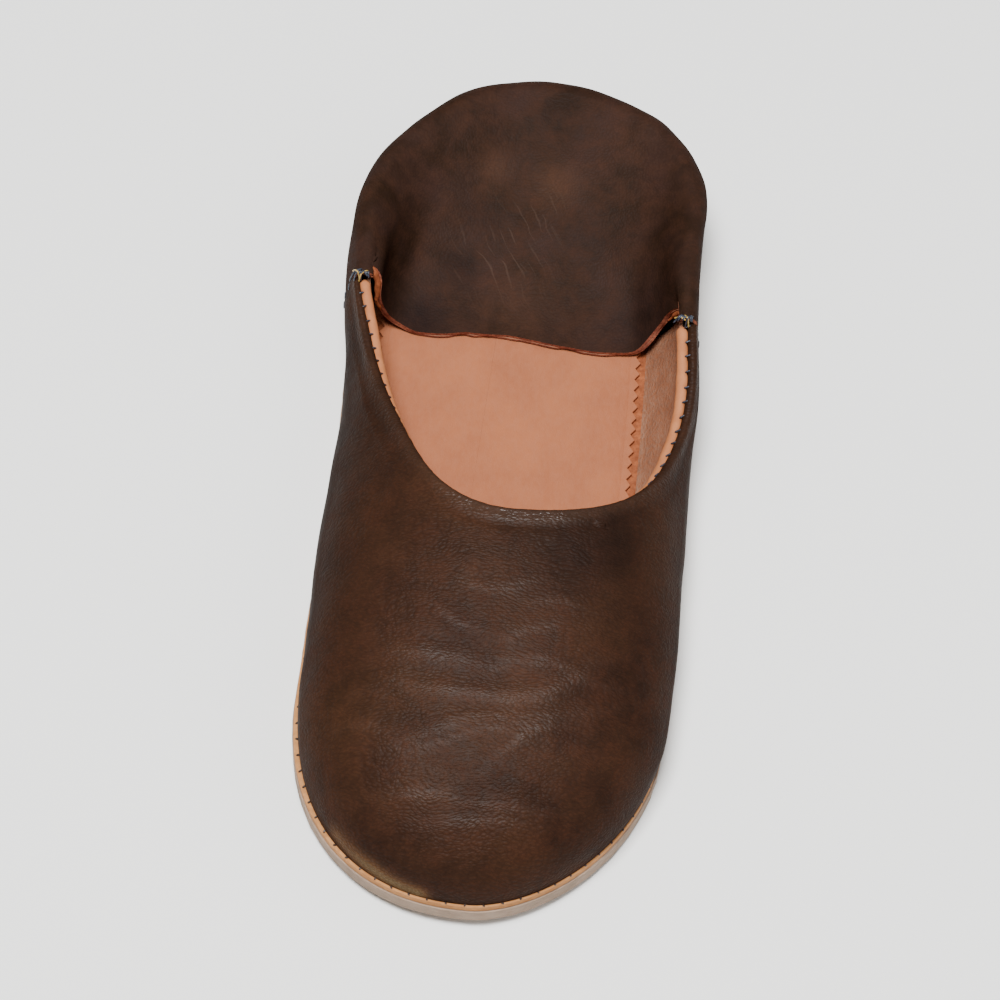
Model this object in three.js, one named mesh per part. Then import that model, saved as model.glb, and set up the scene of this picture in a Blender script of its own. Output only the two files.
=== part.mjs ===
// A left babouche: a flat leather slipper with a smooth front and a heel quarter folded down inside.
// Millimetres. +Z is up, -Y points at the toe, +X is the little-toe side, and the floor is z = 0.
// "Along" is the distance from the back of the heel, and heights are taken over the sole unless they
// say otherwise.

import * as THREE from 'three';
import { mergeVertices } from 'three/addons/utils/BufferGeometryUtils.js';

// Driving sizes
const soleLength = 272;
const originAlong = 136; // the middle of the sole's length lies over the origin
const outsoleThickness = 4.8;
const midsoleThickness = 2.2;
const insoleThickness = 1.8;
const layerGap = 0.3; // between pieces that lie on each other
const edgeEase = { outsole: 0.6, midsole: 0.3 };
const midsoleMargin = 0.4; // how far the midsole stands inside the outsole
const wall = 2.2; // the upper's outer leather and lining together
const collarWall = 3.6; // the same at the rolled top edge of the front
const collarWallFrom = 0.6; // the share of the wall's height from which it thickens
const toeSpring = { lift: 4, run: 62 };
const throatAlong = 169; // the foremost point of the opening
const pinking = { pitch: 4, depth: 1.4 }; // the zigzag cut of the insole's edge

// What differs between the big-toe side and the little-toe side. A run is the length that the outline
// takes to round off, like a superellipse of that power.
const sides = {
  medial: {
    sign: -1, seamAlong: 82, insoleInset: 9.5, heelRun: 70, heelPower: 2, toeRun: 63, toePower: 2.22,
  },
  lateral: {
    sign: 1, seamAlong: 90, insoleInset: 17, heelRun: 56, heelPower: 2.1, toeRun: 56, toePower: 1.73,
  },
};

// Half-widths of the sole on each side of the line from the heel's back to the toe's tip, and how far
// its rim stands out under the upper
const soleSections = [
  { at: 'heel back', along: 0, medial: 52, lateral: 52, medialRim: 0.6, lateralRim: 0.6 },
  { at: 'heel', along: 45, medial: 52.4, lateral: 53, medialRim: 0.6, lateralRim: 0.6 },
  { at: 'seam', along: 88, medial: 51.8, lateral: 54, medialRim: 0.6, lateralRim: 0.6 },
  { at: 'waist', along: 126, medial: 51.4, lateral: 53.4, medialRim: 0.8, lateralRim: 0.6 },
  { at: 'ball', along: 175, medial: 53.6, lateral: 51.8, medialRim: 1.2, lateralRim: 0.6 },
  { at: 'toe joint', along: 215, medial: 54.6, lateral: 50, medialRim: 2, lateralRim: 0.5 },
  { at: 'toe tip', along: 272, medial: 54.6, lateral: 50, medialRim: 1, lateralRim: 1 },
];

// Sections of the front: the ridge's height, how far it lies aside, the swell of the sides and the
// squareness
const frontSections = [
  { at: 'seam', along: 86, ridge: 47.5, aside: 6, medialSwell: 0, lateralSwell: 0, squareness: 2.5 },
  { at: 'instep', along: 130, ridge: 45, aside: 6, medialSwell: 0.8, lateralSwell: 1.2, squareness: 2.5 },
  { at: 'throat', along: 169, ridge: 42.5, aside: 6, medialSwell: 1.2, lateralSwell: 2.2, squareness: 2.5 },
  { at: 'ball', along: 200, ridge: 38, aside: 4, medialSwell: 1.4, lateralSwell: 2.2, squareness: 2.6 },
  { at: 'toes', along: 235, ridge: 30.5, aside: 1, medialSwell: 1, lateralSwell: 1.4, squareness: 2.6 },
  { at: 'toe tip', along: 272, ridge: 22, aside: 0, medialSwell: 0, lateralSwell: 0, squareness: 2.4 },
];
const toeCap = { run: 42, power: 2.1 }; // how the ridge comes down at the toe
const swellRise = 0.7; // below 1, it brings the fullest place of the sides nearer to the sole

// The collar's line from the seams to the throat. Its half-width from the ridge narrows to nothing at
// the throat, as a superellipse of those powers. It is at the seam's height at first, and lies on the
// front's dome from a share on.
const collar = {
  medial: { halfWidth: 55.2, alongPower: 1.2, acrossPower: 2.35 },
  lateral: { halfWidth: 46, alongPower: 2.9, acrossPower: 2.15 },
  seamHeight: 29,
  domeFrom: 0.95,
};

// Sections of the folded heel quarter: the height of its wall up to the fold, how far the wall leans in
// on each side, its bulge, the radius of the fold, and how steeply the flap leaves it in degrees
const heelSections = [
  { at: 'back', along: 0, height: 22, medial: -1, lateral: -1, bulge: 1, foldRadius: 4.6, fall: 14 },
  { at: 'heel', along: 45, height: 23.6, medial: -3, lateral: -2, bulge: 0.6, foldRadius: 4.2, fall: 28 },
  { at: 'seam', along: 90, height: 29, medial: -2, lateral: 1, bulge: 0, foldRadius: 2.8, fall: 62 },
];

const seamBlendFrom = 0.35; // the share of the way to the seam from which the wall turns into the front's

// The quarter's free edge, a flat-bottomed curve that hangs from the tops of the two seams down to the
// insole. The pulls say how long the flap keeps its direction where it leaves the fold and where it
// meets the edge.
const freeEdge = {
  cornerDrop: 2.4,
  cornerIn: 5.2,
  setBack: 3.5,
  squareness: 2.9,
  startPull: 0.3,
  endPull: 0.27,
};

// How many sections each stretch of the shoe gets, and how many steps up the wall and over the fold
const sectionCounts = { heel: 14, opening: 12, front: 16 };
const wallSteps = 9;
const foldSteps = 5;
const flapSteps = 9;

const soleTop = outsoleThickness + layerGap + midsoleThickness;
const upperBottom = soleTop + layerGap;
const insoleBottom = soleTop + layerGap;
const flapTop = insoleBottom + insoleThickness + layerGap + wall;
const quarterTurn = Math.PI / 2;
const samePlace = 1e-3; // vertices closer than this are one

// The value of a column of a table at a distance along the shoe, as a smooth curve through the rows.
function valueAt(rows, column, along) {
  const last = rows.length - 1;
  if (along <= rows[0].along) return rows[0][column];
  if (along >= rows[last].along) return rows[last][column];
  const i = rows.findIndex((row) => row.along > along) - 1;
  const slope = (k) => {
    const a = rows[Math.max(k - 1, 0)];
    const b = rows[Math.min(k + 1, last)];
    return (b[column] - a[column]) / (b.along - a.along);
  };
  const run = rows[i + 1].along - rows[i].along;
  const t = (along - rows[i].along) / run;
  const step = rows[i + 1][column] - rows[i][column];
  const a = slope(i) * run - step;
  const b = step - slope(i + 1) * run;
  return rows[i][column] + step * t + t * (1 - t) * (a * (1 - t) + b * t);
}

// 0 at the end of a shape and 1 from the end of the run on, rounded like a superellipse.
function roundOff(distance, run, power) {
  const t = THREE.MathUtils.clamp(distance / run, 0, 1);
  return (1 - (1 - t) ** power) ** (1 / power);
}

function soleHalfWidth(side, along) {
  const { heelRun, heelPower, toeRun, toePower } = sides[side];
  const heel = roundOff(along, heelRun, heelPower);
  const toe = roundOff(soleLength - along, toeRun, toePower);
  return valueAt(soleSections, side, along) * heel * toe;
}

// How far the toe spring lifts the shoe at a place.
function springAt(y) {
  const run = Math.max(originAlong - y - (soleLength - toeSpring.run), 0);
  return toeSpring.lift * (run / toeSpring.run) ** 2;
}

// The distances along one side at which the shoe has a section, closer together where the outline turns.
function sectionsAlong(side) {
  const { seamAlong } = sides[side];
  const alongs = [];
  for (let k = 0; k < sectionCounts.heel; k++)
    alongs.push(seamAlong * (1 - Math.cos((quarterTurn * k) / sectionCounts.heel)));
  for (let k = 0; k < sectionCounts.opening; k++) {
    const share = Math.sin((quarterTurn * k) / sectionCounts.opening);
    alongs.push(THREE.MathUtils.lerp(seamAlong, throatAlong, share));
  }
  for (let k = 0; k <= sectionCounts.front; k++) {
    const share = (1 - Math.cos((Math.PI * k) / sectionCounts.front)) / 2;
    alongs.push(THREE.MathUtils.lerp(throatAlong, soleLength, share));
  }
  return alongs;
}

// The sole's outline as a ring of places: up the medial side from the heel to the toe, and back down
// the lateral side. Each place knows its side, its distance along, the way in, and its point, which
// stands in by the margin there.
function outlineRing(marginAt) {
  const places = [];
  for (const side of ['medial', 'lateral']) {
    const own = sectionsAlong(side).map((along) => ({
      side,
      along,
      edge: new THREE.Vector2(sides[side].sign * soleHalfWidth(side, along), originAlong - along),
    }));
    places.push(...(side === 'medial' ? own : own.slice(1, -1).reverse()));
  }
  return places.map((place, i) => {
    const before = places[(i + places.length - 1) % places.length].edge;
    const after = places[(i + 1) % places.length].edge;
    const inward = new THREE.Vector2(before.y - after.y, after.x - before.x).normalize();
    return { ...place, inward, point: place.edge.clone().addScaledVector(inward, marginAt(place)) };
  });
}

// A geometry with merged vertices and without faces that have collapsed.
function closedGeometry(positions, index, thickness) {
  const geometry = new THREE.BufferGeometry();
  geometry.setAttribute('position', new THREE.Float32BufferAttribute(positions, 3));
  if (thickness) geometry.setAttribute('thickness', new THREE.Float32BufferAttribute(thickness, 1));
  geometry.setIndex(index);
  const merged = mergeVertices(geometry, samePlace);
  const corners = merged.index.array;
  const kept = [];
  for (let i = 0; i < corners.length; i += 3) {
    const [a, b, c] = [corners[i], corners[i + 1], corners[i + 2]];
    if (a !== b && b !== c && c !== a) kept.push(a, b, c);
  }
  merged.setIndex(kept);
  return merged;
}

// Joins rings of equally many points into a closed body. Both end faces are ladders from side to side,
// so that they follow the toe spring.
function solidOfRings(rings) {
  const count = rings[0].length;
  const positions = rings.flat().flatMap((p) => [p.x, p.y, p.z]);
  const index = [];
  for (let r = 0; r + 1 < rings.length; r++)
    for (let i = 0; i < count; i++) {
      const low = r * count;
      const high = low + count;
      const j = (i + 1) % count;
      index.push(low + i, low + j, high + j, low + i, high + j, high + i);
    }
  const top = (rings.length - 1) * count;
  for (let i = 0; i < count / 2; i++) {
    const [a, b, c, d] = [i, i + 1, (count - i - 1) % count, (count - i) % count];
    index.push(a, c, b, a, d, c);
    index.push(top + a, top + b, top + c, top + a, top + c, top + d);
  }
  return closedGeometry(positions, index);
}

function ringAt(points, height) {
  return points.map((point) => new THREE.Vector3(point.x, point.y, height + springAt(point.y)));
}

// A flat layer of the sole with its edge eased at the top and bottom.
function soleLayer(bottom, thickness, margin, ease) {
  const levels = [
    { inset: ease, height: 0 },
    { inset: 0, height: ease },
    { inset: 0, height: thickness - ease },
    { inset: ease, height: thickness },
  ];
  return solidOfRings(
    levels.map(({ inset, height }) => {
      const ring = outlineRing(() => margin + inset);
      return ringAt(ring.map(({ point }) => point), bottom + height);
    }),
  );
}

// The insole: a thin sheet whose edge is cut in small teeth.
function insoleGeometry(bottom) {
  const halfWidth = soleSections[0].lateral;
  const ring = outlineRing(({ edge }) => {
    const across = THREE.MathUtils.smoothstep(edge.x / halfWidth, -1, 1);
    return THREE.MathUtils.lerp(sides.medial.insoleInset, sides.lateral.insoleInset, across);
  });
  const outline = new THREE.Path([...ring, ring[0]].map(({ point }) => point));
  const teeth = Math.round(outline.getLength() / pinking.pitch);
  const places = outline.getSpacedPoints(2 * teeth).slice(0, -1);
  const cut = places.map((place, i) => {
    const before = places[(i + places.length - 1) % places.length];
    const after = places[(i + 1) % places.length];
    const inward = new THREE.Vector2(before.y - after.y, after.x - before.x).normalize();
    return place.clone().addScaledVector(inward, i % 2 ? pinking.depth : 0);
  });
  return solidOfRings([ringAt(cut, bottom), ringAt(cut, bottom + insoleThickness)]);
}

// The front's wall over one place of the outline, as a function of the share of the way from the sole
// to its top. Over the opening it ends at the collar, and in front of the throat it goes on to the
// ridge.
function frontWall({ side, along, point, inward }, toeTip) {
  const { sign, seamAlong } = sides[side];
  const squareness = valueAt(frontSections, 'squareness', along);
  const swell = valueAt(frontSections, side + 'Swell', along);
  const pastThroat = Math.max(along - throatAlong, 0) / (soleLength - throatAlong);
  const standsBack = toeTip.y - (originAlong - soleLength);
  const ridge = new THREE.Vector2(
    valueAt(frontSections, 'aside', along),
    originAlong - along + standsBack * pastThroat,
  );
  let turn = quarterTurn;
  let rise = valueAt(frontSections, 'ridge', along);
  rise *= roundOff(soleLength - along, toeCap.run, toeCap.power);
  if (along < throatAlong) {
    const { halfWidth, alongPower, acrossPower } = collar[side];
    const gone = (along - seamAlong) / (throatAlong - seamAlong);
    const width = halfWidth * (1 - gone ** alongPower) ** (1 / acrossPower);
    const reach = sign * (point.x - ridge.x);
    turn = Math.acos(Math.min(width / reach, 1) ** (squareness / 2));
    const seamRise = collar.seamHeight / Math.sin(turn) ** (2 / squareness);
    rise = THREE.MathUtils.lerp(seamRise, rise, THREE.MathUtils.smoothstep(gone, 0, collar.domeFrom));
  }
  return (share) => {
    const angle = turn * share;
    const across = share === 1 && along >= throatAlong ? 1 : 1 - Math.cos(angle) ** (2 / squareness);
    const plan = point.clone().lerp(ridge, across);
    plan.addScaledVector(inward, -swell * Math.sin(Math.PI * share ** swellRise));
    return new THREE.Vector3(plan.x, plan.y, rise * Math.sin(angle) ** (2 / squareness));
  };
}

// The quarter's wall over one place of the outline, up to the fold. It turns into the front's wall at
// the seam.
function quarterWall(place, seamWall, seamPlace) {
  const { side, along, point, inward } = place;
  const height = valueAt(heelSections, 'height', along);
  const lean = valueAt(heelSections, side, along);
  const bulge = valueAt(heelSections, 'bulge', along);
  const blend = THREE.MathUtils.smoothstep(along / sides[side].seamAlong, seamBlendFrom, 1);
  return (share) => {
    const standsIn = lean * share ** 2 - bulge * Math.sin(Math.PI * share);
    const own = point.clone().addScaledVector(inward, standsIn);
    const front = seamWall(share);
    const leanAtSeam = sides[side].sign * (seamPlace.point.x - front.x);
    own.lerp(point.clone().addScaledVector(inward, leanAtSeam), blend);
    return new THREE.Vector3(own.x, own.y, THREE.MathUtils.lerp(height * share, front.z, blend));
  };
}

// The fold over the wall's top, and the flap that hangs from it to the free edge.
function foldAndFlap({ side, along, inward }, wallPoints, end) {
  const top = wallPoints[wallSteps];
  const below = wallPoints[wallSteps - 1];
  const radius = valueAt(heelSections, 'foldRadius', along);
  const fall = THREE.MathUtils.degToRad(valueAt(heelSections, 'fall', along));
  const heading = top.clone().sub(below);
  const start = Math.atan2(heading.z, heading.x * inward.x + heading.y * inward.y);
  const at = (angle) => {
    const inwards = radius * (Math.sin(start) - Math.sin(angle));
    const up = radius * (Math.cos(angle) - Math.cos(start));
    return new THREE.Vector3(top.x + inward.x * inwards, top.y + inward.y * inwards, top.z + up);
  };
  const points = [];
  for (let j = 1; j <= foldSteps; j++) points.push(at(THREE.MathUtils.lerp(start, -fall, j / foldSteps)));
  const from = points[foldSteps - 1];
  const length = from.distanceTo(end);
  const leave = new THREE.Vector3(inward.x * Math.cos(fall), inward.y * Math.cos(fall), -Math.sin(fall));
  const flap = new THREE.CubicBezierCurve3(
    from,
    from.clone().addScaledVector(leave, length * freeEdge.startPull),
    end.clone().add(new THREE.Vector3(0, length * freeEdge.endPull, 0)),
    end,
  );
  points.push(...flap.getPoints(flapSteps).slice(1));
  return points;
}

// The free edge's point at a share of the way from the medial seam to the lateral one.
function freeEdgePoint(share, corners) {
  const angle = Math.PI * share;
  const across = -Math.sign(Math.cos(angle)) * Math.abs(Math.cos(angle)) ** (2 / freeEdge.squareness);
  const down = Math.sin(angle) ** (2 / freeEdge.squareness);
  const point = corners.medial.clone().lerp(corners.lateral, (across + 1) / 2);
  point.y += freeEdge.setBack * down;
  return point.setZ(THREE.MathUtils.lerp(point.z, flapTop - upperBottom, down));
}

// The upper: one sheet of columns round the foot, thickened inwards.
function upperGeometry() {
  const ring = outlineRing(({ side, along }) => valueAt(soleSections, side + 'Rim', along));
  const count = ring.length;
  const toeTip = ring[sectionsAlong('medial').length - 1].point;
  const seam = {};
  for (const side of ['medial', 'lateral']) {
    const place = ring.find((p) => p.side === side && p.along === sides[side].seamAlong);
    seam[side] = { place, wall: frontWall(place, toeTip), index: ring.indexOf(place) };
  }
  const corners = {};
  for (const side of ['medial', 'lateral']) {
    const top = seam[side].wall(1);
    const inwards = -sides[side].sign * freeEdge.cornerIn;
    corners[side] = new THREE.Vector3(top.x + inwards, top.y, top.z - freeEdge.cornerDrop);
  }
  // Places from the medial seam round the heel to the lateral seam, to share out the free edge among
  // them.
  const behind = [];
  for (let i = seam.medial.index; i >= 0; i--) behind.push(i);
  for (let i = count - 1; i >= seam.lateral.index; i--) behind.push(i);
  const columns = ring.map((place) => {
    const folded = place.along <= sides[place.side].seamAlong;
    const { place: seamPlace, wall: seamWall } = seam[place.side];
    const wallAt = folded ? quarterWall(place, seamWall, seamPlace) : frontWall(place, toeTip);
    const points = [];
    for (let j = 0; j <= wallSteps; j++) points.push(wallAt(j / wallSteps));
    return { place, folded, points };
  });
  let gone = 0;
  const distances = behind.map((i, k) => {
    if (k > 0) gone += ring[i].point.distanceTo(ring[behind[k - 1]].point);
    return gone;
  });
  behind.forEach((i, k) => {
    const end = freeEdgePoint(distances[k] / gone, corners);
    columns[i].points.push(...foldAndFlap(columns[i].place, columns[i].points, end));
  });
  const rows = wallSteps + foldSteps + flapSteps + 1;
  const positions = [];
  const thickness = [];
  columns.forEach(({ place, folded, points }) => {
    for (let j = 0; j < rows; j++) {
      const p = points[Math.min(j, points.length - 1)];
      positions.push(p.x, p.y, upperBottom + p.z + (place.along > throatAlong ? springAt(p.y) : 0));
      const nearCollar = place.along <= throatAlong ? j / wallSteps : 0;
      const rolled = folded ? 0 : THREE.MathUtils.smoothstep(nearCollar, collarWallFrom, 1);
      thickness.push(THREE.MathUtils.lerp(wall, collarWall, rolled));
    }
  });
  const faces = [];
  for (let i = 0; i < count; i++) {
    const next = (i + 1) % count;
    const last = columns[i].folded && columns[next].folded ? rows - 1 : wallSteps;
    for (let j = 0; j < last; j++) {
      const [a, b] = [i * rows + j, next * rows + j];
      faces.push(a, b, b + 1, a, b + 1, a + 1);
    }
  }
  const outer = closedGeometry(positions, faces, thickness);
  outer.computeVertexNormals();
  return thickened(outer);
}

// Thickens an open sheet inwards along its normals, and closes it along its borders.
function thickened(sheet) {
  const position = sheet.getAttribute('position');
  const normal = sheet.getAttribute('normal');
  const thickness = sheet.getAttribute('thickness');
  const index = sheet.index.array;
  const count = position.count;
  const positions = [...position.array];
  for (let i = 0; i < count; i++) {
    const p = new THREE.Vector3().fromBufferAttribute(position, i);
    const n = new THREE.Vector3().fromBufferAttribute(normal, i);
    const onSole = Math.abs(p.z - upperBottom - springAt(p.y)) < samePlace;
    if (onSole) n.setZ(0).normalize();
    p.addScaledVector(n, -thickness.getX(i));
    positions.push(p.x, p.y, p.z);
  }
  const borders = new Map();
  const faces = [];
  for (let i = 0; i < index.length; i += 3) {
    const corners = [index[i], index[i + 1], index[i + 2]];
    faces.push(...corners, corners[0] + count, corners[2] + count, corners[1] + count);
    corners.forEach((a, k) => {
      const b = corners[(k + 1) % 3];
      if (!borders.delete(b + ',' + a)) borders.set(a + ',' + b, [a, b]);
    });
  }
  for (const [a, b] of borders.values()) faces.push(b, a, a + count, b, a + count, b + count);
  return closedGeometry(positions, faces);
}

function leather(color, roughness) {
  return new THREE.MeshStandardMaterial({ color, roughness, metalness: 0 });
}

function piece(name, geometry, material) {
  geometry.computeVertexNormals();
  const mesh = new THREE.Mesh(geometry, material);
  mesh.name = name;
  return mesh;
}

const outsole = soleLayer(0, outsoleThickness, 0, edgeEase.outsole);
const midsole = soleLayer(outsoleThickness + layerGap, midsoleThickness, midsoleMargin, edgeEase.midsole);

const slipper = new THREE.Group();
slipper.add(
  piece('outsole', outsole, leather(0xa8948a, 0.8)),
  piece('midsole', midsole, leather(0xd9a066, 0.7)),
  piece('insole', insoleGeometry(insoleBottom), leather(0xc08e72, 0.75)),
  piece('upper', upperGeometry(), leather(0x4a3024, 0.5)),
);

export default slipper;
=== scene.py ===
import math
import random

import bpy
import numpy as np
from mathutils import Matrix, Vector, noise


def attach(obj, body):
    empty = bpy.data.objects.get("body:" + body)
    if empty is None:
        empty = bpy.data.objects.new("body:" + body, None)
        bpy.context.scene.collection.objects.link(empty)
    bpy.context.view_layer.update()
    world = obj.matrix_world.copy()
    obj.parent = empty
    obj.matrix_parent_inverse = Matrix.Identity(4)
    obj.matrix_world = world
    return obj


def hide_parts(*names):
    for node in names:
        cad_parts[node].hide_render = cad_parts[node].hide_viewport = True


# One left babouche. Sizes are in millimetres and turned to metres where a mesh is made.
# +Z up, -Y towards the toe, +X the little-toe side. "Along" is the distance from the back of the heel.

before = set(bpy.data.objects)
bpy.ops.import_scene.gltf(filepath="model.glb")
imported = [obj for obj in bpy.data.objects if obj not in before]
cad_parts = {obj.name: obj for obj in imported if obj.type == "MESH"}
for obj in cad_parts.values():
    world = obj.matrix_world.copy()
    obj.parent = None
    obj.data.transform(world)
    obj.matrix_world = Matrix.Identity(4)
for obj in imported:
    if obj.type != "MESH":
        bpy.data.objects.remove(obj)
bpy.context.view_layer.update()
print("frame loaded:", sorted(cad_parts))

mm = 0.001  # one millimetre in metres

# the shoe's own form, the same named sizes as the solids

form = {
    "soleLength": 272,
    "originAlong": 136,
    "outsole": 4.8,
    "midsole": 2.2,
    "insole": 1.8,
    "gap": 0.3,
    "springLift": 4,
    "springRun": 62,
    "throatAlong": 169,
    "midsoleMargin": 0.4,
}
sides = {
    "medial": {
        "sign": -1, "seamAlong": 82, "insoleInset": 9.5,
        "heelRun": 70, "heelPower": 2, "toeRun": 63, "toePower": 2.22,
    },
    "lateral": {
        "sign": 1, "seamAlong": 90, "insoleInset": 17,
        "heelRun": 56, "heelPower": 2.1, "toeRun": 56, "toePower": 1.73,
    },
}


# a table as a list of dictionaries, one for each row
def rows(names, *values):
    return [dict(zip(names.split(), v)) for v in values]


soleSections = rows(
    "along medial lateral medialRim lateralRim",
    (0, 52, 52, 0.6, 0.6),
    (45, 52.4, 53, 0.6, 0.6),
    (88, 51.8, 54, 0.6, 0.6),
    (126, 51.4, 53.4, 0.8, 0.6),
    (175, 53.6, 51.8, 1.2, 0.6),
    (215, 54.6, 50, 2, 0.5),
    (272, 54.6, 50, 1, 1),
)
frontSections = rows(
    "along ridge aside medialSwell lateralSwell squareness",
    (86, 47.5, 6, 0, 0, 2.5),
    (130, 45, 6, 0.8, 1.2, 2.5),
    (169, 42.5, 6, 1.2, 2.2, 2.5),
    (200, 38, 4, 1.4, 2.2, 2.6),
    (235, 30.5, 1, 1, 1.4, 2.6),
    (272, 22, 0, 0, 0, 2.4),
)
toeCap = {"run": 42, "power": 2.1}
swellRise = 0.7
collar = {
    "medial": {"halfWidth": 55.2, "alongPower": 1.2, "acrossPower": 2.35},
    "lateral": {"halfWidth": 46, "alongPower": 2.9, "acrossPower": 2.15},
    "seamHeight": 29,
    "domeFrom": 0.95,
}
heelSections = rows(
    "along height medial lateral bulge foldRadius fall",
    (0, 22, -1, -1, 1, 4.6, 14),
    (45, 23.6, -3, -2, 0.6, 4.2, 28),
    (90, 29, -2, 1, 0, 2.8, 62),
)
flapCurve = {"startPull": 0.3, "endPull": 0.27}
# the quarter's free edge from the medial corner down to the insole and up to the lateral corner
freeEdge = rows(
    "x y z",
    (-47.8, 54.8, 37),
    (-45.4, 57.2, 38.5),
    (-42.6, 56.6, 37.6),
    (-40.9, 54.6, 34),
    (-40.6, 53.6, 27),
    (-39.6, 54, 20),
    (-36.4, 54.8, 13.6),
    (-29.3, 53.0, 11.9),
    (-16.3, 53.9, 11.9),
    (-4.9, 54.2, 11.9),
    (5.8, 52.8, 11.9),
    (18.1, 50.9, 11.9),
    (26.2, 50.3, 11.9),
    (34.0, 51.2, 12.4),
    (38.2, 52.8, 16.6),
    (41.2, 54.5, 22),
    (43.2, 54.3, 28),
    (45.4, 53.2, 33.5),
    (47.4, 50.6, 37),
    (49.6, 47.6, 37.8),
)
soleTop = form["outsole"] + form["gap"] + form["midsole"]
upperBottom = soleTop + form["gap"]
insoleTop = upperBottom + form["insole"]


def lerp(a, b, t):
    return a + (b - a) * t


def smooth(x, a, b):
    t = min(max((x - a) / (b - a), 0), 1)
    return t * t * (3 - 2 * t)


def smoothArray(x, a, b):
    t = np.clip((x - a) / (b - a), 0, 1)
    return t * t * (3 - 2 * t)


# a column's value at a distance along, on a smooth curve through the rows
def valueAt(table, column, along):
    last = len(table) - 1
    if along <= table[0]["along"]:
        return table[0][column]
    if along >= table[last]["along"]:
        return table[last][column]
    i = next(k for k, row in enumerate(table) if row["along"] > along) - 1

    def slope(k):
        a, b = table[max(k - 1, 0)], table[min(k + 1, last)]
        return (b[column] - a[column]) / (b["along"] - a["along"])

    run = table[i + 1]["along"] - table[i]["along"]
    t = (along - table[i]["along"]) / run
    step = table[i + 1][column] - table[i][column]
    a = slope(i) * run - step
    b = step - slope(i + 1) * run
    return table[i][column] + step * t + t * (1 - t) * (a * (1 - t) + b * t)


# rises from 0 at an end to 1 over a run, as a rounded corner does
def roundOff(distance, run, power):
    t = min(max(distance / run, 0), 1)
    return (1 - (1 - t) ** power) ** (1 / power)


def soleHalfWidth(side, along):
    s = sides[side]
    heel = roundOff(along, s["heelRun"], s["heelPower"])
    toe = roundOff(form["soleLength"] - along, s["toeRun"], s["toePower"])
    return valueAt(soleSections, side, along) * heel * toe


# how far the toe of the sole springs up from the floor
def springAt(y):
    run = max(form["originAlong"] - y - (form["soleLength"] - form["springRun"]), 0)
    return form["springLift"] * (run / form["springRun"]) ** 2


springsAt = np.vectorize(springAt, otypes=[float])


# distances along one side, closer together at the heel, the throat and the toe
def sectionsAlong(side, counts):
    seam, throat, end = sides[side]["seamAlong"], form["throatAlong"], form["soleLength"]
    alongs = [seam * (1 - math.cos(math.pi / 2 * k / counts["heel"])) for k in range(counts["heel"])]
    for k in range(counts["opening"]):
        alongs.append(lerp(seam, throat, math.sin(math.pi / 2 * k / counts["opening"])))
    for k in range(counts["front"] + 1):
        alongs.append(lerp(throat, end, (1 - math.cos(math.pi * k / counts["front"])) / 2))
    return alongs


# places round the sole from the heel by the medial side to the toe and back, each with its way inward
def outlineRing(marginAt, counts):
    places = []
    for side in ("medial", "lateral"):
        own = []
        for along in sectionsAlong(side, counts):
            edge = np.array([sides[side]["sign"] * soleHalfWidth(side, along), form["originAlong"] - along])
            own.append({"side": side, "along": along, "edge": edge})
        places += own if side == "medial" else own[1:-1][::-1]
    for i, place in enumerate(places):
        before, after = places[i - 1]["edge"], places[(i + 1) % len(places)]["edge"]
        inward = np.array([before[1] - after[1], after[0] - before[0]])
        place["inward"] = inward / np.linalg.norm(inward)
    for place in places:
        place["point"] = place["edge"] + place["inward"] * marginAt(place)
    return places


def rimAt(place):
    return valueAt(soleSections, place["side"] + "Rim", place["along"])


# the front's wall over a place
def frontWall(place, toeTipY):
    side, along, point, inward = place["side"], place["along"], place["point"], place["inward"]
    sign, seam, throat = sides[side]["sign"], sides[side]["seamAlong"], form["throatAlong"]
    squareness = valueAt(frontSections, "squareness", along)
    swell = valueAt(frontSections, side + "Swell", along)
    pastThroat = max(along - throat, 0) / (form["soleLength"] - throat)
    standsBack = toeTipY - (form["originAlong"] - form["soleLength"])
    ridgeY = form["originAlong"] - along + standsBack * pastThroat
    ridge = np.array([valueAt(frontSections, "aside", along), ridgeY])
    turn = math.pi / 2
    rise = valueAt(frontSections, "ridge", along)
    rise *= roundOff(form["soleLength"] - along, toeCap["run"], toeCap["power"])
    if along < throat:
        c = collar[side]
        gone = (along - seam) / (throat - seam)
        width = c["halfWidth"] * (1 - gone ** c["alongPower"]) ** (1 / c["acrossPower"])
        reach = sign * (point[0] - ridge[0])
        turn = math.acos(min(width / reach, 1) ** (squareness / 2))
        seamRise = collar["seamHeight"] / math.sin(turn) ** (2 / squareness)
        rise = lerp(seamRise, rise, smooth(gone, 0, collar["domeFrom"]))

    def wallAt(share):
        angle = min(turn * share, math.pi / 2)
        top = angle > math.pi / 2 - 1e-9
        across = 1 if top else 1 - math.cos(angle) ** (2 / squareness)
        plan = point + (ridge - point) * across
        plan = plan - inward * swell * math.sin(math.pi * min(share, 1) ** swellRise)
        return np.array([plan[0], plan[1], rise * math.sin(angle) ** (2 / squareness)])

    return wallAt, turn


# the heel quarter's wall over a place: it takes on the front's shape towards the seam
def quarterWall(place, seamWall, seamPlace):
    side, along, point, inward = place["side"], place["along"], place["point"], place["inward"]
    height, lean, bulge = (valueAt(heelSections, c, along) for c in ("height", side, "bulge"))
    blend = smooth(along / sides[side]["seamAlong"], 0.35, 1)

    def wallAt(share):
        standsIn = lean * share**2 - bulge * math.sin(math.pi * share)
        own = point + inward * standsIn
        front = seamWall(share)
        leanAtSeam = sides[side]["sign"] * (seamPlace["point"][0] - front[0])
        own = lerp(own, point + inward * leanAtSeam, blend)
        return np.array([own[0], own[1], lerp(height * share, front[2], blend)])

    return wallAt


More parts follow.
